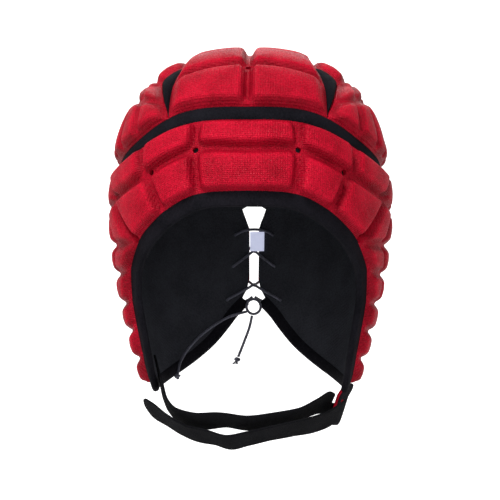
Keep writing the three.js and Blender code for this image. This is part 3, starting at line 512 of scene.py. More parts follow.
knit = {"rowShare": 0.8, "grain": 900, "patches": 55, "spots": 1400, "grainShare": 0.55, "depth": 0.0006,
        "loopHeight": 0.25, "grainHeight": 1.6, "darkAt": 0.36, "lightAt": 0.62,
        "spotsFrom": 0.42, "spotsTo": 0.68}


fabrics = {  # shiny is the roughness of the bright specks; glow is painted light, an emission that makes the thin label glow as if light shone through it
    "redFabric": {"dark": (0.30, 0.0012, 0.011), "light": (0.58, 0.0040, 0.026), "roughness": 0.55,
                  "gloss": 0.08, "rib": 1.5, "bump": 0.7, "shiny": 0.3},
    "blackStretch": {"dark": (0.004, 0.004, 0.006), "light": (0.010, 0.010, 0.014), "roughness": 0.75,
                     "gloss": 0.05, "rib": 1.1, "bump": 0.5},
    "blackBinding": {"dark": (0.004, 0.004, 0.006), "light": (0.011, 0.010, 0.014), "roughness": 0.7,
                     "gloss": 0.05, "rib": 0.9, "bump": 0.5},
    "blackLining": {"dark": (0.029, 0.030, 0.037), "light": (0.047, 0.049, 0.060), "roughness": 0.85,
                    "gloss": 0.05, "rib": 1.3, "bump": 0.6},
    "blackWebbing": {"dark": (0.0035, 0.0035, 0.0045), "light": (0.009, 0.009, 0.011), "roughness": 0.8,
                     "gloss": 0.05, "rib": 1.0, "bump": 0.7},
    "blackCord": {"dark": (0.045, 0.045, 0.062), "light": (0.14, 0.14, 0.19), "roughness": 0.4, "gloss": 0.5,
                  "rib": 0.8, "bump": 0.6},
    "whiteLabel": {"dark": (0.66, 0.69, 0.86), "light": (0.80, 0.83, 0.95), "roughness": 0.6, "gloss": 0.5,
                   "rib": 0.7, "bump": 0.2, "glow": 0.6, "glowColour": (0.62, 0.66, 0.9)},
}


# Knitted cloth: ribs and rows along the walked grid, grain, and soft patches from dark to light; painted shade
# and highlight by the grooves, and a painted glow where the fabric has one
def knitFabric(name):
    fabric = fabrics[name]
    material, nodes, links, shader = nodeTree(name, fabric["roughness"])
    shader.inputs["Specular IOR Level"].default_value = fabric["gloss"]
    weave = addNode(nodes, "ShaderNodeAttribute", attribute_name="weave")
    axes = addNode(nodes, "ShaderNodeSeparateXYZ")
    links.new(weave.outputs["Vector"], axes.inputs[0])
    coords = addNode(nodes, "ShaderNodeTexCoord")
    place = coords.outputs["Object"]
    ribs = ribsOf(nodes, links, axes.outputs["X"], fabric["rib"])
    rows = ribsOf(nodes, links, axes.outputs["Y"], fabric["rib"] * knit["rowShare"])
    loops = chain(nodes, links, addMath(nodes, links, "ADD", ribs, rows), "MULTIPLY", knit["loopHeight"])
    grain = noiseOf(nodes, links, place, knit["grain"], 2)
    height = addMath(nodes, links, "ADD", loops, chain(nodes, links, grain, "MULTIPLY", knit["grainHeight"]))
    patches = noiseOf(nodes, links, place, knit["patches"], 3)
    mixed = addMath(nodes, links, "ADD", chain(nodes, links, patches, "MULTIPLY", 1 - knit["grainShare"]),
                    chain(nodes, links, grain, "MULTIPLY", knit["grainShare"]))
    colour = rampOf(nodes, links, mixed, [(knit["darkAt"], fabric["dark"]), (knit["lightAt"], fabric["light"])])
    # red cloth: painted shade on the pad shoulders and a painted highlight on their rims
    if "shiny" in fabric:
        colour = paintShadeAndHighlight(nodes, links, colour)
    links.new(colour, shader.inputs["Base Color"])
    bumpInto(nodes, links, shader, height, fabric["bump"], knit["depth"])
    # painted light: the label glows by its own emission
    if "glow" in fabric:
        shader.inputs["Emission Color"].default_value = (*fabric["glowColour"], 1)
        shader.inputs["Emission Strength"].default_value = fabric["glow"]
    if "shiny" in fabric:
        spots = noiseOf(nodes, links, place, knit["spots"], 1)
        shine = addNode(nodes, "ShaderNodeMapRange")
        limits = {"From Min": knit["spotsFrom"], "From Max": knit["spotsTo"], "To Min": fabric["roughness"],
                  "To Max": fabric["shiny"]}
        for key, value in limits.items():
            shine.inputs[key].default_value = value
        links.new(spots, shine.inputs["Value"])
        links.new(shine.outputs["Result"], shader.inputs["Roughness"])
    return material


(redFabric, blackStretch, blackBinding, blackLining, blackWebbing, blackCord,
 whiteLabel) = map(knitFabric, fabrics)
print("materials made")

# Outlines, as azimuth and level
faceLine = [[0, 6.4], [7, 6.3], [14, 5.9], [20, 4.6], [26, 2.0], [32, -1.4], [37, -5.0], [42, -8.6],
            [46.5, -12.4], [51, -16.8], [56, -22.2], [59.2, -28.3], [62, -34.5], [63.2, -42], [64.8, -50],
            [68, -58], [74, -64.2], [80, -69.5]]
neckLine = [[80, -69.5], [90, -69.0], [101, -68.5], [112, -67.6], [124, -65.6], [136, -62.6], [147, -58.4],
            [156, -53.4], [163, -47.6], [169, -41.4], [174.6, -36.4]]
gapLine = [[174.6, -36.4], [177, -32], [177.9, -26], [178, -18], [178, -8], [177.8, -5.4],
           [176, 0], [174.2, 5.2]]
bandTable = np.array([
    [0, 37.4, 32.6], [8, 37.4, 32.6], [16, 37.2, 32.3], [24, 36.5, 31.4], [31, 35.2, 29.8], [38, 33.0, 27.4],
    [45, 30.4, 24.9], [52, 27.8, 22.6], [60, 25.6, 20.6], [70, 23.6, 18.8], [85, 21.8, 17.0], [105, 18.6, 13.6],
    [130, 14.2, 9.4], [155, 11.0, 6.3], [174.2, 9.8, 5.2], [180, 9.8, 5.2]])
bandSmooth = smoothLine(bandTable, 400)


# Edge of the stretch band between two azimuths: column 1 is the upper edge, column 2 the lower
def bandLine(column, start, end, steps=80):
    azimuth = np.linspace(start, end, steps + 1)
    return np.stack([azimuth, np.interp(np.abs(azimuth), bandSmooth[:, 0], bandSmooth[:, column])], -1)


# Grooves at even shares of a row, the same on both of its guide lines
def evenCuts(count):
    return [(i / count, i / count) for i in range(count + 1)]


# Crown panel: two columns of pads from the brow to the back
crown = {"front": 35.1, "back": 157, "middles": [-52.6, -33.2, -13.6, 6, 25.6, 45.2, 65, 80.2],
         "vents": [1, 3, 5]}


# Point of the band's upper edge, in degrees from the top of the head
def bandCorner(azimuth):
    return toCrown(bandLine(1, azimuth, azimuth, 1)[0]).tolist()


crownEdge = [bandCorner(crown["front"]), [28.9, -30.6], [24.1, -12.8], [21.8, 6], [22.6, 25], [25, 44],
             [28.6, 62], bandCorner(crown["back"])]


# Guide lines of the crown panel: the band at both ends, and smooth lines between them
def crownLines():
    lines = []
    for i, middle in enumerate(crown["middles"]):
        if i == 0:
            lines.append(toCrown(bandLine(1, -crown["front"], crown["front"])))
        elif i == len(crown["middles"]) - 1:
            lines.append(wholeLine(toCrown(bandLine(1, 180, crown["back"]))))
        else:
            edge = crownEdge[i]
            half = [[0, middle], [edge[0] / 2, middle * 0.8 + edge[1] * 0.2], edge]
            lines.append(smoothLine(wholeLine(half), 120))
    return lines


gussetCorners = {"tail": [31.9, -42.6], "lower": [32.6, -37.2], "outer": [33.4, -17.3], "top": [23.8, -9.2]}
gussetInner = [[31.6, -42.4], crownEdge[1], crownEdge[2], [23.2, -9.4]]
gussetShares = np.linspace(0, 1, 80)
gussetFade = formPoint(fromCrown(along(np.array(gussetInner, float), gussetShares)))
ventHoles = [{"chart": fromCrown(np.array([0, crown["middles"][i]])), "width": 4, "height": 4}
             for i in crown["vents"]]
crownPanel = makePanel("crownPanel", crownLines(), [{"cuts": evenCuts(2)}] * 7, fromCrown, broadPads, ventHoles,
                       fade=np.concatenate([gussetFade, gussetFade * [-1, 1, 1]]))
placePiece(crownPanel, redFabric, "red_fabric", "crown_panel")
print("crown panel", len(crownPanel.data.polygons))

# Crown sides: three rows that end on the band one after the other
sideEnds = {"lower": 120, "third": 130, "second": 143}
crownSideLines = [
    toCrown(bandLine(1, crown["front"], sideEnds["lower"])),
    smoothLine([gussetCorners["lower"], [38.5, -29], [43.2, -16], [45.4, 0], [48, 16], [52, 31],
                bandCorner(sideEnds["third"])]),
    smoothLine([gussetCorners["outer"], [35.2, -8], [36.2, 2], [38, 20], [41, 38], [45, 54],
                bandCorner(sideEnds["second"])]),
    smoothLine([gussetCorners["top"], *crownEdge[3:]]),
]
for name, mirrored in (("crownSideLeft", False), ("crownSideRight", True)):
    rows = [{"cuts": evenCuts(count)} for count in (6, 5, 5)]
    outerEdge = formPoint(fromCrown(along(np.array(list(gussetCorners.values()), float), gussetShares)))
    side = makePanel(name, crownSideLines, rows, fromCrown, softPads, (), mirrored, outerEdge, 11.0)
    placePiece(side, redFabric, "red_fabric", "crown_side_right" if mirrored else "crown_side_left")
print("crown sides")

# Stretch gussets, tucked under the crown's edges
gussets = {"outside": 1.0, "bulge": 4.2, "thickness": 1.2, "columns": 60, "rows": 16, "past": 0.01,
           "under": 0.09, "power": 0.4}


# Gusset: straight lines between its two edges, humped by a power of the product of two sines
def makeGusset(name, mirrored):
    low = np.array(list(gussetCorners.values()), float)
    high = np.array(gussetInner, float)
    shares = np.linspace(-gussets["past"], 1 + gussets["past"], gussets["columns"])
    ends = [along(low, shares), along(high, shares)]
    q = np.linspace(-gussets["under"], 1 + gussets["under"], gussets["rows"])[:, None, None]
    grid = (1 - q) * ends[0] + q * ends[1]
    places = formPoint(fromCrown(grid))
    normal = formNormal(places)
    faces = gridFaces(np.arange(places.shape[0] * places.shape[1]).reshape(places.shape[:2]))
    alongWave, acrossWave = [np.sin(np.clip(t, 0, 1) * math.pi) for t in (shares, q[:, :, 0])]
    hump = np.clip(alongWave, 0, 1)[None] * acrossWave
    lift = (gussets["outside"] + gussets["bulge"] * hump ** gussets["power"])[..., None]
    outer = (places + normal * lift).reshape(-1, 3)
    inner = (places + normal * (lift - gussets["thickness"])).reshape(-1, 3)
    allPlaces, allFaces = closeShell(outer, inner, faces)
    weave = walkGrid(places)
    return makeMesh(name, allPlaces, allFaces, {"weave": np.concatenate([weave, weave])}, mirrored)


for name, mirrored, node in (("gussetLeft", False, "gusset_left"), ("gussetRight", True, "gusset_right")):
    placePiece(makeGusset(name, mirrored), blackStretch, "black_stretch", node)

# Stretch band, its edges under the panels and its middle domed between them
band = {"under": 1.2, "edge": 0.9, "dome": 1.9, "inside": -0.2, "stations": 300, "across": 12, "power": 0.6}


# Band: a closed ring round the head, domed by a power of the sine of the share across it
def makeBand():
    azimuth = np.linspace(-180, 180, band["stations"], endpoint=False)
    high = np.interp(np.abs(azimuth), bandSmooth[:, 0], bandSmooth[:, 1])
    low = np.interp(np.abs(azimuth), bandSmooth[:, 0], bandSmooth[:, 2])
    lowPoint = formPoint(np.stack([azimuth, low], -1))
    highPoint = formPoint(np.stack([azimuth, high], -1))
    tall = np.linalg.norm(highPoint - lowPoint, axis=1)
    under = band["under"] / tall
    q = np.linspace(0, 1, band["across"])
    share = -under[:, None] + q * (1 + 2 * under[:, None])
    level = low[:, None] + share * (high - low)[:, None]
    chart = np.stack([np.repeat(azimuth[:, None], band["across"], 1), level], -1)
    dome = band["edge"] + band["dome"] * np.sin(q * math.pi) ** band["power"]
    outer = surfacePoint(chart, np.broadcast_to(dome, share.shape))
    inner = surfacePoint(chart[:, ::-1], np.full(share.shape, band["inside"]))
    return makeSweep("stretchBand", np.concatenate([outer, inner], 1)[:, ::-1], closed=True)


placePiece(makeBand(), blackStretch, "black_stretch", "stretch_band")
print("band and gussets")

# Brow panel: two rows of five pads over the face opening
browSeam = {"band": 85, "middle": 66, "face": 46}  # azimuths of its seam with the side panels
browMiddle = [[0, 21.7], [19, 21.3], [28, 18.4], [38, 14.2], [50, 9.8], [browSeam["middle"], 5.4]]
faceSmooth = smoothLine(faceLine, 400)
browFace = faceSmooth[faceSmooth[:, 0] <= browSeam["face"]]


# Cuts of a whole row, from those of its first half
def mirrorCuts(cuts):
    return cuts + [(1 - a, 1 - b) for a, b in cuts[::-1]]


# For lines that are already azimuth and level
def asGiven(chart):
    return chart


browRows = [{"cuts": mirrorCuts([(0, 0), (0.185, 0.208), (0.335, 0.362)])},
            {"cuts": mirrorCuts([(0, 0), (0.185, 0.245), (0.362, 0.392)])}]
browLines = [wholeLine(browFace), smoothLine(wholeLine(browMiddle), 240),
             bandLine(2, -browSeam["band"], browSeam["band"], 240)]
browVents = [{"chart": np.array([azimuth, level]), "width": 4, "height": 4}
             for azimuth, level in ((-38, 14.2), (-19, 21.3), (19, 21.3), (38, 14.2))]
browPanel = makePanel("browPanel", browLines, browRows, asGiven, broadPads, browVents)
placePiece(browPanel, redFabric, "red_fabric", "brow_panel")
print("brow panel", len(browPanel.data.polygons))

# Side panels: seven rows from the brow seam and the face opening round to the lacing gap
earHole = {"chart": [97.5, -25.2], "width": 26, "height": 32}
eyelets = [[171.6, -8.8], [170.4, -22.8], [166.8, -37.6]]
eyeletHoles = [{"chart": place, "width": 3.6, "height": 3.6} for place in eyelets]
sideLines = [
    [point for point in neckLine if point[0] < 140] + [[140.5, -61.2]],
    [[68, -57.8], [80, -58.6], [100, -59.4], [125, -60.2], [140.5, -61.0]],
    [[64, -46], [80, -47.4], [100, -48.6], [130, -51.4], [157.2, -52.4]],
    [[62.2, -35.5], [80, -36.2], [100, -37.4], [130, -40.4], [150, -42.4], [173.9, -37.1]],
    [[56.6, -23], [80, -24.4], [100, -25.4], [130, -28.2], [155, -30.4], [178, -28]],
    [[46, -12], [60, -12.6], [80, -12.8], [100, -13.6], [130, -16.6], [155, -18.6], [178, -17.4]],
    [[66, 5.4], [80, 1.6], [100, -1.2], [130, -4.8], [155, -6.2], [178, -5.6]],
]
sideLines = [smoothLine(line) for line in sideLines] + [bandLine(2, browSeam["band"], 174.2, 160)]
eyeletMargin = 0.915  # share of a row where the bare margin for the eyelets begins


# Even cuts up to the bare margin beside the lacing gap
def marginCuts(count):
    return [(i * eyeletMargin / count, i * eyeletMargin / count) for i in range(count + 1)] + [(1, 1)]


sideRows = [
    {"cuts": evenCuts(3)}, {"cuts": evenCuts(4)}, {"cuts": evenCuts(5)},
    {"cuts": [(0, 0), (0.12, 0.147), (0.245, 0.267), (0.395, 0.407), (0.57, 0.572), (0.74, 0.736),
              (0.915, 0.901), (1, 1)], "bare": [2, 6]},
    {"cuts": [(0, 0), (0.147, 0.163), (0.267, 0.323), (0.407, 0.452), (0.572, 0.604), (0.736, 0.756),
              (0.901, 0.909), (1, 1)], "bare": [2, 6]},
    {"cuts": marginCuts(6), "bare": [6]}, {"cuts": marginCuts(5), "bare": [5]},
]
for name, mirrored in (("sidePanelLeft", False), ("sidePanelRight", True)):
    side = makePanel(name, sideLines, sideRows, asGiven, sidePads, [earHole, *eyeletHoles], mirrored)
    placePiece(side, redFabric, "red_fabric", "side_panel_right" if mirrored else "side_panel_left")
print("side panels", len(side.data.polygons))

# Lining: one knitted hood, open at the face, the neck and the lacing gap
lining = {"slitTop": 5.2, "columns": 321, "rows": 120, "setback": 0.2, "reach": 1.9, "pole": 0.004,
          "aboveSlit": 0.002, "belowSlit": 0.003}


# Azimuth of the gap's edge at a level, and 180 degrees above its top
def gapAt(level, gap):
    return np.where(level > lining["slitTop"], 180.0, np.interp(level, gap[:, 1], gap[:, 0]))


# Hood: levels from the top down to the edge, drawn in sideways to the gap's sides below its top
# and closed to a ring above it
def makeLining():
    edgeLine = np.concatenate([faceSmooth, smoothLine(neckLine, 300)[1:]])
    edgeAzimuth = np.linspace(-neckLine[-1][0], neckLine[-1][0], lining["columns"])
    edgeLevel = np.interp(np.abs(edgeAzimuth), edgeLine[:, 0], edgeLine[:, 1]) + lining["setback"]
    gap = smoothLine(gapLine, 200)
    slitShare = (90 - lining["slitTop"]) / (90 - neckLine[-1][1])
    above = int(lining["rows"] * slitShare)
    shares = np.concatenate([np.linspace(lining["pole"], slitShare - lining["aboveSlit"], above),
                             np.linspace(slitShare + lining["belowSlit"], 1, lining["rows"] - above)])
    level = 90 + (edgeLevel[None] - 90) * shares[:, None]
    azimuth = edgeAzimuth / gapAt(np.minimum(edgeLevel, lining["slitTop"]), gap) * gapAt(level, gap)
    azimuth[:above] = np.linspace(-180, 180, lining["columns"])
    chart = np.stack([azimuth, level], -1)
    base = formPoint(chart)
    ids = np.arange(base.shape[0] * base.shape[1]).reshape(base.shape[:2])
    ids[:above, -1] = ids[:above, 0]
    inside = np.zeros(ids.size, bool)
    snapped = np.zeros(ids.size, bool)
    flat = base.reshape(-1, 3)
    for hole in [earHole, {**earHole, "chart": [-earHole["chart"][0], earHole["chart"][1]]}]:
        flat, within, onEdge = openHole(flat, hole, lining["reach"])
        inside |= within
        snapped |= onEdge
    normal = formNormal(flat)
    faces = np.stack([ids[1:, :-1], ids[1:, 1:], ids[:-1, 1:], ids[:-1, :-1]], -1).reshape(-1, 4)
    faces = faces[~(inside[faces].any(1) | snapped[faces].all(1))]
    pole = len(flat)
    cap = np.stack([ids[0, :-1], ids[0, 1:], np.full(len(ids[0]) - 1, pole), np.full(len(ids[0]) - 1, pole)], 1)
    top = surfacePoint(np.array([[0.0, 90.0]]), np.array([layers["liningOutside"]]))
    bottom = surfacePoint(np.array([[0.0, 90.0]]), np.array([layers["liningInside"]]))
    outer = np.concatenate([flat + normal * layers["liningOutside"], top])
    inner = np.concatenate([flat + normal * layers["liningInside"], bottom])
    weave = np.concatenate([walkGrid(base), np.zeros((1, 3))])
    places, allFaces = closeShell(outer, inner, np.concatenate([faces, cap]))
    return makeMesh("liningKnit", places, allFaces, {"weave": np.concatenate([weave, weave])})


placePiece(makeLining(), blackLining, "black_lining", "lining")
print("lining")

# Bindings: padded strips folded over the edges of the panels and the lining
bindings = {"face": 9.2, "neck": 6.7, "over": -1.6, "thickness": 4.8, "stations": 3.0, "smoothing": 5}


# Stations along the whole edge: chart, foot, normal and the direction away from the cloth
def edgeFrames():
    half = np.concatenate([faceSmooth, smoothLine(neckLine, 300)[1:]])
    whole = np.concatenate([mirrorLine(half)[:-1], half])
    places = formPoint(whole)
    sums = np.concatenate([[0], np.cumsum(np.linalg.norm(np.diff(places, axis=0), axis=1))])
    at = np.linspace(0, sums[-1], int(sums[-1] / bindings["stations"]))
    chart = np.stack([np.interp(at, sums, whole[:, k]) for k in range(2)], -1)
    foot = formPoint(chart)
    normal = formNormal(foot)
    forward = np.gradient(foot, axis=0)
    kernel = np.ones(bindings["smoothing"]) / bindings["smoothing"]
    padded = np.pad(forward, ((bindings["smoothing"] // 2,) * 2, (0, 0)), mode="edge")
    forward = np.stack([np.convolve(padded[:, k], kernel, "valid") for k in range(3)], -1)
    forward /= np.linalg.norm(forward, axis=1, keepdims=True)
    away = np.cross(forward, normal)
    away /= np.linalg.norm(away, axis=1, keepdims=True)
    return chart, foot, normal, away


# Section loop of a folded strip: two leaves over the edge and a round fold beyond it
def bindingLoop(width):
    middle = (layers["webOutside"] + layers["liningInside"]) / 2
    half = bindings["thickness"] / 2
    turn = np.linspace(math.pi / 2, -math.pi / 2, 9)
    fold = [(width - half * 0.9 + half * 0.9 * math.cos(a), middle + half * math.sin(a)) for a in turn]
    rise = [(bindings["over"], middle + half * 0.96), (bindings["over"] + 0.5, middle + half * 1.1),
            (1.5, middle + half * 1.05), (width * 0.5, middle + half * 1.08)]
    lower = [(a, 2 * middle - b) for a, b in rise[::-1]]
    return np.array([*rise, *fold, *lower])


# Binding between two of the edge's four marks, its section loop carried from one to the other
def makeBinding(name, low, high, width, *nodes):
    chart, foot, normal, away = edgeFrames()
    azimuths = np.abs(chart[:, 0])
    middle = len(chart) // 2
    tip = faceLine[-1][0]
    tipRight = middle - np.argmin(np.abs(azimuths[:middle][::-1] - tip))
    tipLeft = middle + np.argmin(np.abs(azimuths[middle:] - tip))
    ends = {"right": tipRight, "left": tipLeft, "start": 0, "end": len(chart) - 1}
    chosen = slice(ends[low], ends[high] + 1)
    loop = bindingLoop(width)
    sections = (foot[chosen, None] + away[chosen, None] * loop[None, :, :1]
                + normal[chosen, None] * loop[None, :, 1:])
    return placePiece(makeSweep(name, sections), blackBinding, "black_binding", *nodes)


makeBinding("faceBinding", "right", "left", bindings["face"], "face_binding")
makeBinding("neckBindingLeft", "left", "end", bindings["neck"], "neck_binding_left")
makeBinding("neckBindingRight", "start", "right", bindings["neck"], "neck_binding_right")
print("bindings")

# Bare label inside, beside the gap
label = {"right": 181.7, "top": -7.4, "width": 11, "height": 14.5, "thickness": 0.7, "clearance": 0.8,
         "columns": 16, "rows": 20, "ripple": 0.15}


# Label: a thin sheet inside the lining, rippled by the product of a sine and a cosine
def makeLabel():
    across = math.degrees(label["width"] / form["back"])
    down = label["height"] / form["dropPerDegree"]
    azimuth, level = np.meshgrid(np.linspace(label["right"] - across, label["right"], label["columns"]),
                                 np.linspace(label["top"] - down, label["top"], label["rows"]))
    chart = np.stack([azimuth, level], -1)
    outside = layers["liningInside"] - label["clearance"]
    ripple = label["ripple"] * np.sin(level * 1.3) * np.cos(azimuth * 0.9)
    outer = surfacePoint(chart, outside + ripple).reshape(-1, 3)
    inner = surfacePoint(chart, outside - label["thickness"] + ripple).reshape(-1, 3)
    places, allFaces = closeShell(outer, inner, gridFaces(np.arange(azimuth.size).reshape(azimuth.shape)))
    weave = walkGrid(outer.reshape(*azimuth.shape, 3))
    return makeMesh("labelPatch", places, allFaces, {"weave": np.concatenate([weave, weave])})


placePiece(makeLabel(), whiteLabel, "white_label", "label")

# Strap keeper: slotted tab under the left flap, its top sewn over the binding
keeper = {"azimuth": 82, "turn": 20, "width": 17, "length": 21.5, "thickness": 3, "slotWidth": 6,
          "slotLength": 15.5, "slotDrop": 2.8, "clearance": 0.4, "bindingEnd": 9.2, "tongue": 10,
          "tongueRise": 2.6, "stations": 96, "outerPower": 4.5, "slotPower": 7, "blackFrom": -0.3}


# Vector turned about the vertical
def turnAbout(vector, degrees):
    c, s = math.cos(math.radians(degrees)), math.sin(math.radians(degrees))
    return np.array([c * vector[0] - s * vector[1], s * vector[0] + c * vector[1], vector[2]])


# Keeper's top and directions: up along the flap, out from the head with a turn, and back across both
def keeperFrame():
    edge = np.array(faceLine + neckLine[1:])
    level = float(np.interp(keeper["azimuth"], edge[:, 0], edge[:, 1]))
    middle = (layers["webOutside"] + layers["liningInside"]) / 2
    foot = surfacePoint(np.array([keeper["azimuth"], level]), middle)
    below = surfacePoint(np.array([keeper["azimuth"], level - 2]), middle)
    up = (foot - below) / np.linalg.norm(foot - below)
    out = turnAbout(formNormal(formPoint(np.array([keeper["azimuth"], level]))), -keeper["turn"])
    back = np.cross(up, out)
    back /= np.linalg.norm(back)
    out = np.cross(back, up)
    top = foot - up * (keeper["bindingEnd"] + keeper["clearance"])
    return top, up, out, back


keeperTop, keeperUp, keeperOut, keeperBack = keeperFrame()


# Place so far forward, down and outward from the keeper's top
def keeperPlace(forward, down, outward):
    return (keeperTop - keeperBack * np.asarray(forward)[..., None] - keeperUp * np.asarray(down)[..., None]
            + keeperOut * np.asarray(outward)[..., None])


# Outline between an ellipse and a rectangle, squarer with a higher power
def superRound(angles, half, power):
    x, y = [np.sign(wave) * np.abs(wave) ** (2 / power) for wave in (np.cos(angles), np.sin(angles))]
    return np.stack([half[0] * x, half[1] * y], -1)


# Ring of stations round the slot: each has a rounded section from the outer edge to the slot's edge
def makeKeeper():
    angles = np.linspace(0, 2 * math.pi, keeper["stations"], endpoint=False)
    centre = keeper["slotDrop"] + keeper["slotLength"] / 2
    outerHalf = np.array([keeper["width"] / 2, (keeper["length"] + keeper["tongue"]) / 2])
    outerCentre = (keeper["length"] - keeper["tongue"]) / 2
    slotHalf = np.array([keeper["slotWidth"] / 2, keeper["slotLength"] / 2])
    outer = superRound(angles, outerHalf, keeper["outerPower"]) + [0, outerCentre]
    slot = superRound(angles, slotHalf, keeper["slotPower"]) + [0, centre]
    half = keeper["thickness"] / 2
    profile = [(0.0, 0.0), (0.02, 0.55), (0.10, 0.9), (0.25, 1.0), (0.75, 1.0), (0.92, 0.9), (1.0, 0.45),
               (1.0, -0.45), (0.92, -0.9), (0.75, -1.0), (0.25, -1.0), (0.10, -0.9), (0.02, -0.55)]
    sections = []
    for share, height in profile:
        flat = outer * (1 - share) + slot * share
        lift = np.clip(-flat[:, 1] / keeper["tongue"], 0, 1) * keeper["tongueRise"]  # over the binding
        sections.append(keeperPlace(flat[:, 0], flat[:, 1], half * height + lift))
    return makeSweep("strapKeeper", np.stack(sections, 1), closed=True)


keeperPiece = placePiece(makeKeeper(), redFabric, "red_fabric", "strap_keeper")
keeperPiece.data.materials.append(blackBinding)
facing = np.zeros(len(keeperPiece.data.polygons) * 3, np.float32)
keeperPiece.data.polygons.foreach_get("normal", facing)
innerSide = facing.reshape(-1, 3) @ keeperOut < keeper["blackFrom"]  # black on the side of the head
keeperPiece.data.polygons.foreach_set("material_index", innerSide.astype(np.int32))

# Chin strap: from inside the right flap, under the chin, round the keeper's front bar and back
strap = {"width": 20, "thickness": 1.6, "clearance": 0.4, "frontReach": 77, "drop": 155, "foldShare": 0.58,
         "rootLevel": -64, "stations": 500, "tip": 9.0}
strapThere = [  # azimuth, reach, drop, tilt, width share
    [-84, 0.97, 0.700, 78, 1], [-78, 0.94, 0.765, 80, 1], [-70, 0.925, 0.812, 78, 1], [-57, 0.95, 0.856, 62, 1],
    [-42, 0.99, 0.892, 44, 1], [-28, 1.0, 0.902, 36, 1], [-14, 1.0, 0.893, 32, 1], [0, 1.0, 0.905, 32, 1],
    [14, 1.0, 0.893, 33, 1], [28, 1.0, 0.878, 36, 1], [40, 0.99, 0.850, 44, 1], [50, 0.975, 0.832, 54, 0.95],
    [60, 0.945, 0.840, 63, 0.8]]
strapBack = [
    [64, 1.04, 0.872, 66, 0.8], [55, 1.03, 0.892, 58, 0.95], [46, 1.02, 0.910, 48, 1], [30, 1.02, 0.928, 38, 1],
    [14, 1.0, 0.948, 34, 1], [0, 0.985, 0.972, 32, 1], [-11, 0.98, 0.989, 32, 1], [-22, 0.985, 0.970, 34, 1],
    [-34, 1.0, 0.957, 38, 1], [-46, 1.03, 0.925, 46, 1], [-58, 1.05, 0.890, 54, 0.95],
    [-68, 1.075, 0.872, 60, 0.85], [-77, 1.10, 0.862, 64, 0.6]]


# Stations of one strap layer: an ellipse round the chin, with the drop, tilt and width of each
def strapStations(table):
    azimuth, reach, drop, tilt, share = np.array(table, float).T
    azimuth, tilt = np.radians(azimuth), np.radians(tilt)
    inside = np.array(layers["liningInside"] - strap["clearance"])
    root = surfacePoint(np.array([90.0, strap["rootLevel"]]), inside)
    halfSpan = root[0] - strap["thickness"] / 2
    place = np.stack([halfSpan * reach * np.sin(azimuth), -strap["frontReach"] * reach * np.cos(azimuth),
                      form["centreZ"] - strap["drop"] * drop], -1)
    across = np.stack([np.sin(azimuth) * np.cos(tilt), -np.cos(azimuth) * np.cos(tilt), np.sin(tilt)], -1)
    return place, across, strap["width"] * share


# Stations of the fold: along the keeper's inside, through its slot and back on the outside
def foldStations():
    half = keeper["thickness"] / 2 + strap["clearance"] + strap["thickness"] / 2
    through = keeper["slotWidth"] / 2 - strap["clearance"] - strap["thickness"] / 2
    width = strap["width"] * strap["foldShare"]
    down = keeper["slotDrop"] + keeper["slotLength"] - width / 2 - strap["clearance"]
    bar, edge = keeper["width"] / 2, keeper["slotWidth"] / 2
    forward = np.array([bar + 2, edge + 1.4, through + 0.5, through, through + 0.5, edge + 1.4, bar + 2])
    outward = np.array([-half - 0.6, -half, -half * 0.8, 0, half * 0.8, half, half + 0.6])
    place = keeperPlace(forward, np.full(7, down), outward)
    return place, np.tile(keeperUp, (7, 1)), np.full(7, width)


# Strap: a flat section carried along a smooth line through all stations, to a round free end
def makeStrap():
    parts = [strapStations(strapThere), foldStations(), strapStations(strapBack)]
    knots = np.concatenate([np.concatenate([place, across, width[:, None]], 1)
                            for place, across, width in parts])
    lengths = np.concatenate([[0], np.cumsum(np.linalg.norm(np.diff(knots[:, :3], axis=0), axis=1))])
    line = smoothLine(knots[:, :3], strap["stations"])
    walked = np.concatenate([[0], np.cumsum(np.linalg.norm(np.diff(line, axis=0), axis=1))])
    at = walked / walked[-1] * lengths[-1]
    rest = np.stack([np.interp(at, lengths, knots[:, k]) for k in range(3, 7)], -1)
    across = rest[:, :3] / np.linalg.norm(rest[:, :3], axis=1, keepdims=True)
    tangent = np.gradient(line, axis=0)
    face = np.cross(tangent, across)
    face /= np.linalg.norm(face, axis=1, keepdims=True)
    half, thick = rest[:, 3] / 2, strap["thickness"] / 2
    tip = np.clip((walked[-1] - walked) / strap["tip"], 0, 1)  # the free end is rounded
    half = half * np.sqrt(np.clip(1 - (1 - tip) ** 2, 0.02, 1))
    loop = np.array([(-1, -0.5), (-0.97, -0.9), (-0.85, -1), (-0.4, -0.93), (0, -1), (0.4, -0.93), (0.85, -1),
                     (0.97, -0.9), (1, -0.5), (1, 0.5), (0.97, 0.9), (0.85, 1), (0.4, 0.93), (0, 1),
                     (-0.4, 0.93), (-0.85, 1), (-0.97, 0.9), (-1, 0.5)])
    sections = (line[:, None] + across[:, None] * (loop[None, :, :1] * half[:, None, None])
                + face[:, None] * loop[None, :, 1:] * thick)
    return makeSweep("chinStrap", sections)


placePiece(makeStrap(), blackWebbing, "black_webbing", "chin_strap")
print("strap and keeper")

# Lace: degrees to the left of the back's middle, level, and depth from inside (0) to outside (1)
lace = {"diameter": 2.0, "clearance": 0.6, "knot": 12.5, "tip": 5.0, "tipAway": 1.9, "tipTight": 0.8}
laceInside = layers["liningInside"] - lace["clearance"] - lace["diameter"] / 2
laceOutside = layers["webOutside"] + lace["clearance"] + lace["diameter"] / 2


# Places of the lace from a table of its points
def lacePlace(table):
    left, level, depth = np.array(table, float).T
    return surfacePoint(np.stack([180 - left, level], -1), laceInside + (laceOutside - laceInside) * depth)


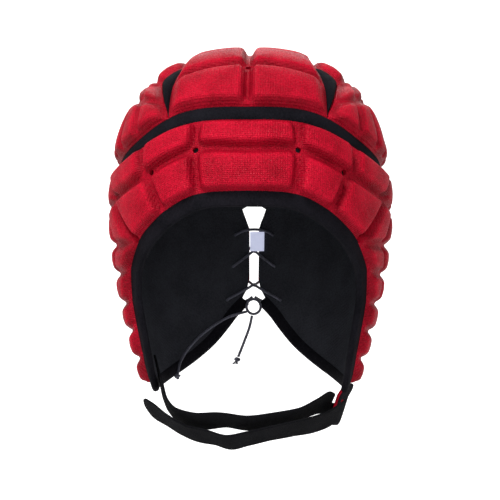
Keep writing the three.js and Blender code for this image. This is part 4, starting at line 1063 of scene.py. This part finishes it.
# One of the two strands from the top to the knot, with its depths at the two crossings
def laceStrand(first, second):
    one, two, three = [(180 - azimuth, level) for azimuth, level in eyelets]
    return [
        [4.4, -6.9, 0], [one[0] - 0.6, one[1] + 0.3, 0], [one[0], one[1], 0.5], [one[0] - 0.5, one[1] - 0.3, 1],
        [5.4, -11.2, 1], [2.7, -13.3, 1], [1.2, -14.6, 0.9], [0, -15.6, first], [-1.2, -16.6, 0.1],
        [-2.8, -18, 0], [-6, -20.4, 0], [0.6 - two[0], two[1] + 0.3, 0], [-two[0], two[1], 0.5],
        [0.5 - two[0], two[1] - 0.4, 1],
        [-6, -25.8, 1], [-2.8, -28.1, 1], [-1.2, -29.4, 0.9], [0, -30.4, second], [1.2, -31.4, 0.1],
        [2.9, -32.5, 0], [7.4, -34.8, 0], [three[0] - 0.6, three[1] + 0.3, 0], [three[0], three[1], 0.5],
        [three[0] - 0.5, three[1] - 0.2, 1],
        [9.4, -37.9, 1.05], [5.6, -37.4, 1.05], [2.6, -36.4, 0.95], [1.3, -36.2, 0.4], [1.0, -36.7, -0.2]]


laceTable = (laceStrand(0.36, 0.72)[::-1] + [[0, -6.3, 0]]
             + [[-left, level, depth] for left, level, depth in laceStrand(0.72, 0.36)])
knotPlace = lacePlace([[0, -36.7, -0.25]])[0] + [0, 0, -lace["knot"] / 2 - 0.7]
longRoute = np.concatenate([
    [knotPlace + [-5.6, 0, -3.9]],
    lacePlace([[-6, -43.4, -0.15], [-12.5, -45, -0.1], [-21, -48.6, -0.1], [-30, -53, -0.1], [-38, -57.4, -0.1],
               [-46, -61.8, -0.2], [-53.5, -65.8, -0.4], [-60, -69.4, -0.6]])])
shortRoute = knotPlace + np.array([[-1.2, 0, -6.8], [-3, 0, -15], [-6.8, 0, -25.5], [-11.5, 0, -37.5]])


# Length of a line, in its own units
def lengthOf(line):
    return float(np.linalg.norm(np.diff(line, axis=0), axis=1).sum())


# Cord: a round tube along a smooth line through its route, and that line in metres
def makeCord(name, route, count, *nodes):
    line = smoothLine(route, count)
    piece = makeSweep(name, tubeSections(line, lace["diameter"] / 2), sharp=60)
    placePiece(piece, blackCord, "black_cord", *nodes)
    return piece, line / 1000


# Knot or thread: a round tube along a line that is smooth already
def makeTie(name, line, radius, *nodes):
    piece = makeSweep(name, tubeSections(line, radius, 10), sharp=60)
    return placePiece(piece, blackCord, "black_cord", *nodes)


# Overhand knot: a trefoil line about a place, its axis along the cord
def trefoil(centre, axis, size):
    t = np.linspace(0, 2 * math.pi, 120)
    local = np.stack([np.sin(t) + 2 * np.sin(2 * t), np.cos(t) - 2 * np.cos(2 * t), -1.3 * np.sin(3 * t)], -1)
    axis = axis / np.linalg.norm(axis)
    side = np.cross(axis, [0, 1, 0.2])
    side /= np.linalg.norm(side)
    return centre + local @ np.stack([side, np.cross(axis, side), axis]) * size / 7.2


ringAngles = np.linspace(0.35 * math.pi, 2.65 * math.pi, 120)
ringRadius = lace["knot"] / 2 - lace["diameter"] / 2
ringLine = knotPlace + np.stack([ringRadius * np.cos(ringAngles), 0.9 * np.cos(ringAngles / 2.3 + 0.6),
                                 ringRadius * 1.05 * np.sin(ringAngles)], -1)
laceKnot = makeTie("laceKnot", ringLine, lace["diameter"] / 2, "lace_knot")
laceCord, laceLine = makeCord("laceCord", lacePlace(laceTable), 700, "lace")
longCord, longLine = makeCord("laceEndLong", longRoute, 120, "lace_end_long")
shortCord, shortLine = makeCord("laceEndShort", shortRoute, 60, "lace_end_short")
for name, line, node in (("laceTipKnot", longLine, "lace_tip_knot"),
                         ("laceTipFray", shortLine, "lace_tip_fray")):
    onward = line[-1] - line[-2]
    onward /= np.linalg.norm(onward)
    centre = line[-1] * 1000 + onward * lace["tipAway"]
    knotLine = trefoil(centre, onward, lace["tip"] * lace["tipTight"])
    makeTie(name, knotLine, lace["diameter"] / 2 * lace["tipTight"], node)

# Loose threads of the frayed tip, spread round the cord's direction and bent a little down
fray = {"threads": 8, "length": 3.4, "radius": 0.28, "start": 2.4, "turn": 2.4, "spread": 0.45, "uneven": 0.35,
        "bend": -0.06}
onward = (shortLine[-1] - shortLine[-2]) / np.linalg.norm(shortLine[-1] - shortLine[-2])
for i in range(fray["threads"]):
    sideways = np.array([math.cos(i * fray["turn"]), math.sin(i * fray["turn"]), 0.2 * math.sin(i * 3.1)])
    spread = fray["spread"] + fray["uneven"] * math.sin(i * 1.9)
    reach = np.linspace(0, fray["length"], 8)[:, None]
    route = (shortLine[-1] * 1000 + onward * (fray["start"] + reach * 0.8) + sideways * reach * spread
             + [0, 0, fray["bend"]] * reach ** 2)
    makeTie(f"frayThread{i + 1}", route, fray["radius"])

print("lace", lengthOf(laceLine), lengthOf(longLine), lengthOf(shortLine))

# Studio: a white sweep well below and behind, a wide key above, and softer fills
studio = {"floor": -0.62, "ahead": -5.0, "behind": 2.2, "height": 5.0, "halfWidth": 5.0, "radius": 0.9,
          "glow": 0.2, "seen": 1.0, "aim": (0, 0, -0.12)}


# Strength of a white surround: full as the camera sees it, faint as a light on the cap
def surroundStrength(tree, socket):
    path = addNode(tree.nodes, "ShaderNodeLightPath")
    seen = chain(tree.nodes, tree.links, path.outputs["Is Camera Ray"], "MULTIPLY_ADD",
                 studio["seen"] - studio["glow"], studio["glow"])
    tree.links.new(seen, socket)


# Backdrop: a floor and a wall joined by a quarter circle, carried straight across
def makeSweepFloor():
    turn = np.linspace(0, math.pi / 2, 24)
    radius = studio["radius"]
    profile = [(studio["ahead"], studio["floor"])]
    profile += [(studio["behind"] - radius + radius * math.sin(a), studio["floor"] + radius * (1 - math.cos(a)))
                for a in turn]
    profile += [(studio["behind"], studio["height"])]
    places = np.array([(x, y, z) for y, z in profile
                       for x in (-studio["halfWidth"], studio["halfWidth"])]) * 1000
    ids = np.arange(len(places)).reshape(-1, 2)
    faces = np.stack([ids[:-1, 0], ids[:-1, 1], ids[1:, 1], ids[1:, 0]], 1)
    floor = makeMesh("backdrop", places, faces, sharp=80)
    material = bpy.data.materials.new("backdrop")
    material.use_nodes = True
    shader = material.node_tree.nodes["Principled BSDF"]
    shader.inputs["Base Color"].default_value = (0.6, 0.6, 0.6, 1)
    shader.inputs["Roughness"].default_value = 0.9
    shader.inputs["Emission Color"].default_value = (1, 1, 1, 1)
    surroundStrength(material.node_tree, shader.inputs["Emission Strength"])
    floor.data.materials.append(material)


# Area light turned to face the middle of the cap
def addLight(name, place, size, power):
    data = bpy.data.lights.new(name, "AREA")
    data.shape = "RECTANGLE"
    data.size, data.size_y = size
    data.energy = power
    light = bpy.data.objects.new(name, data)
    scene.collection.objects.link(light)
    light.location = place
    toward = np.array(studio["aim"]) - place
    horizontal = math.hypot(toward[0], toward[1])
    light.rotation_euler = (math.atan2(horizontal, -toward[2]), 0, math.atan2(-toward[0], toward[1]))


makeSweepFloor()
lights = [("key", (-0.55, -1.2, 1.6), (0.7, 0.6), 42), ("fillLeft", (-1.9, -0.9, 0.1), (0.8, 1.2), 9),
          ("fillRight", (1.9, -1.0, 0.1), (0.8, 1.2), 8), ("front", (0.2, -2.2, 0.2), (1.0, 1.0), 8),
          ("back", (0.0, 2.0, 1.0), (1.2, 0.9), 9)]  # name, place, size, watts
for light in lights:
    addLight(*light)
world = bpy.data.worlds.new("studio")
world.use_nodes = True
world.node_tree.nodes["Background"].inputs["Color"].default_value = (1, 1, 1, 1)
surroundStrength(world.node_tree, world.node_tree.nodes["Background"].inputs["Strength"])
scene.world = world
scene.view_settings.view_transform = "Standard"

print("studio ready")
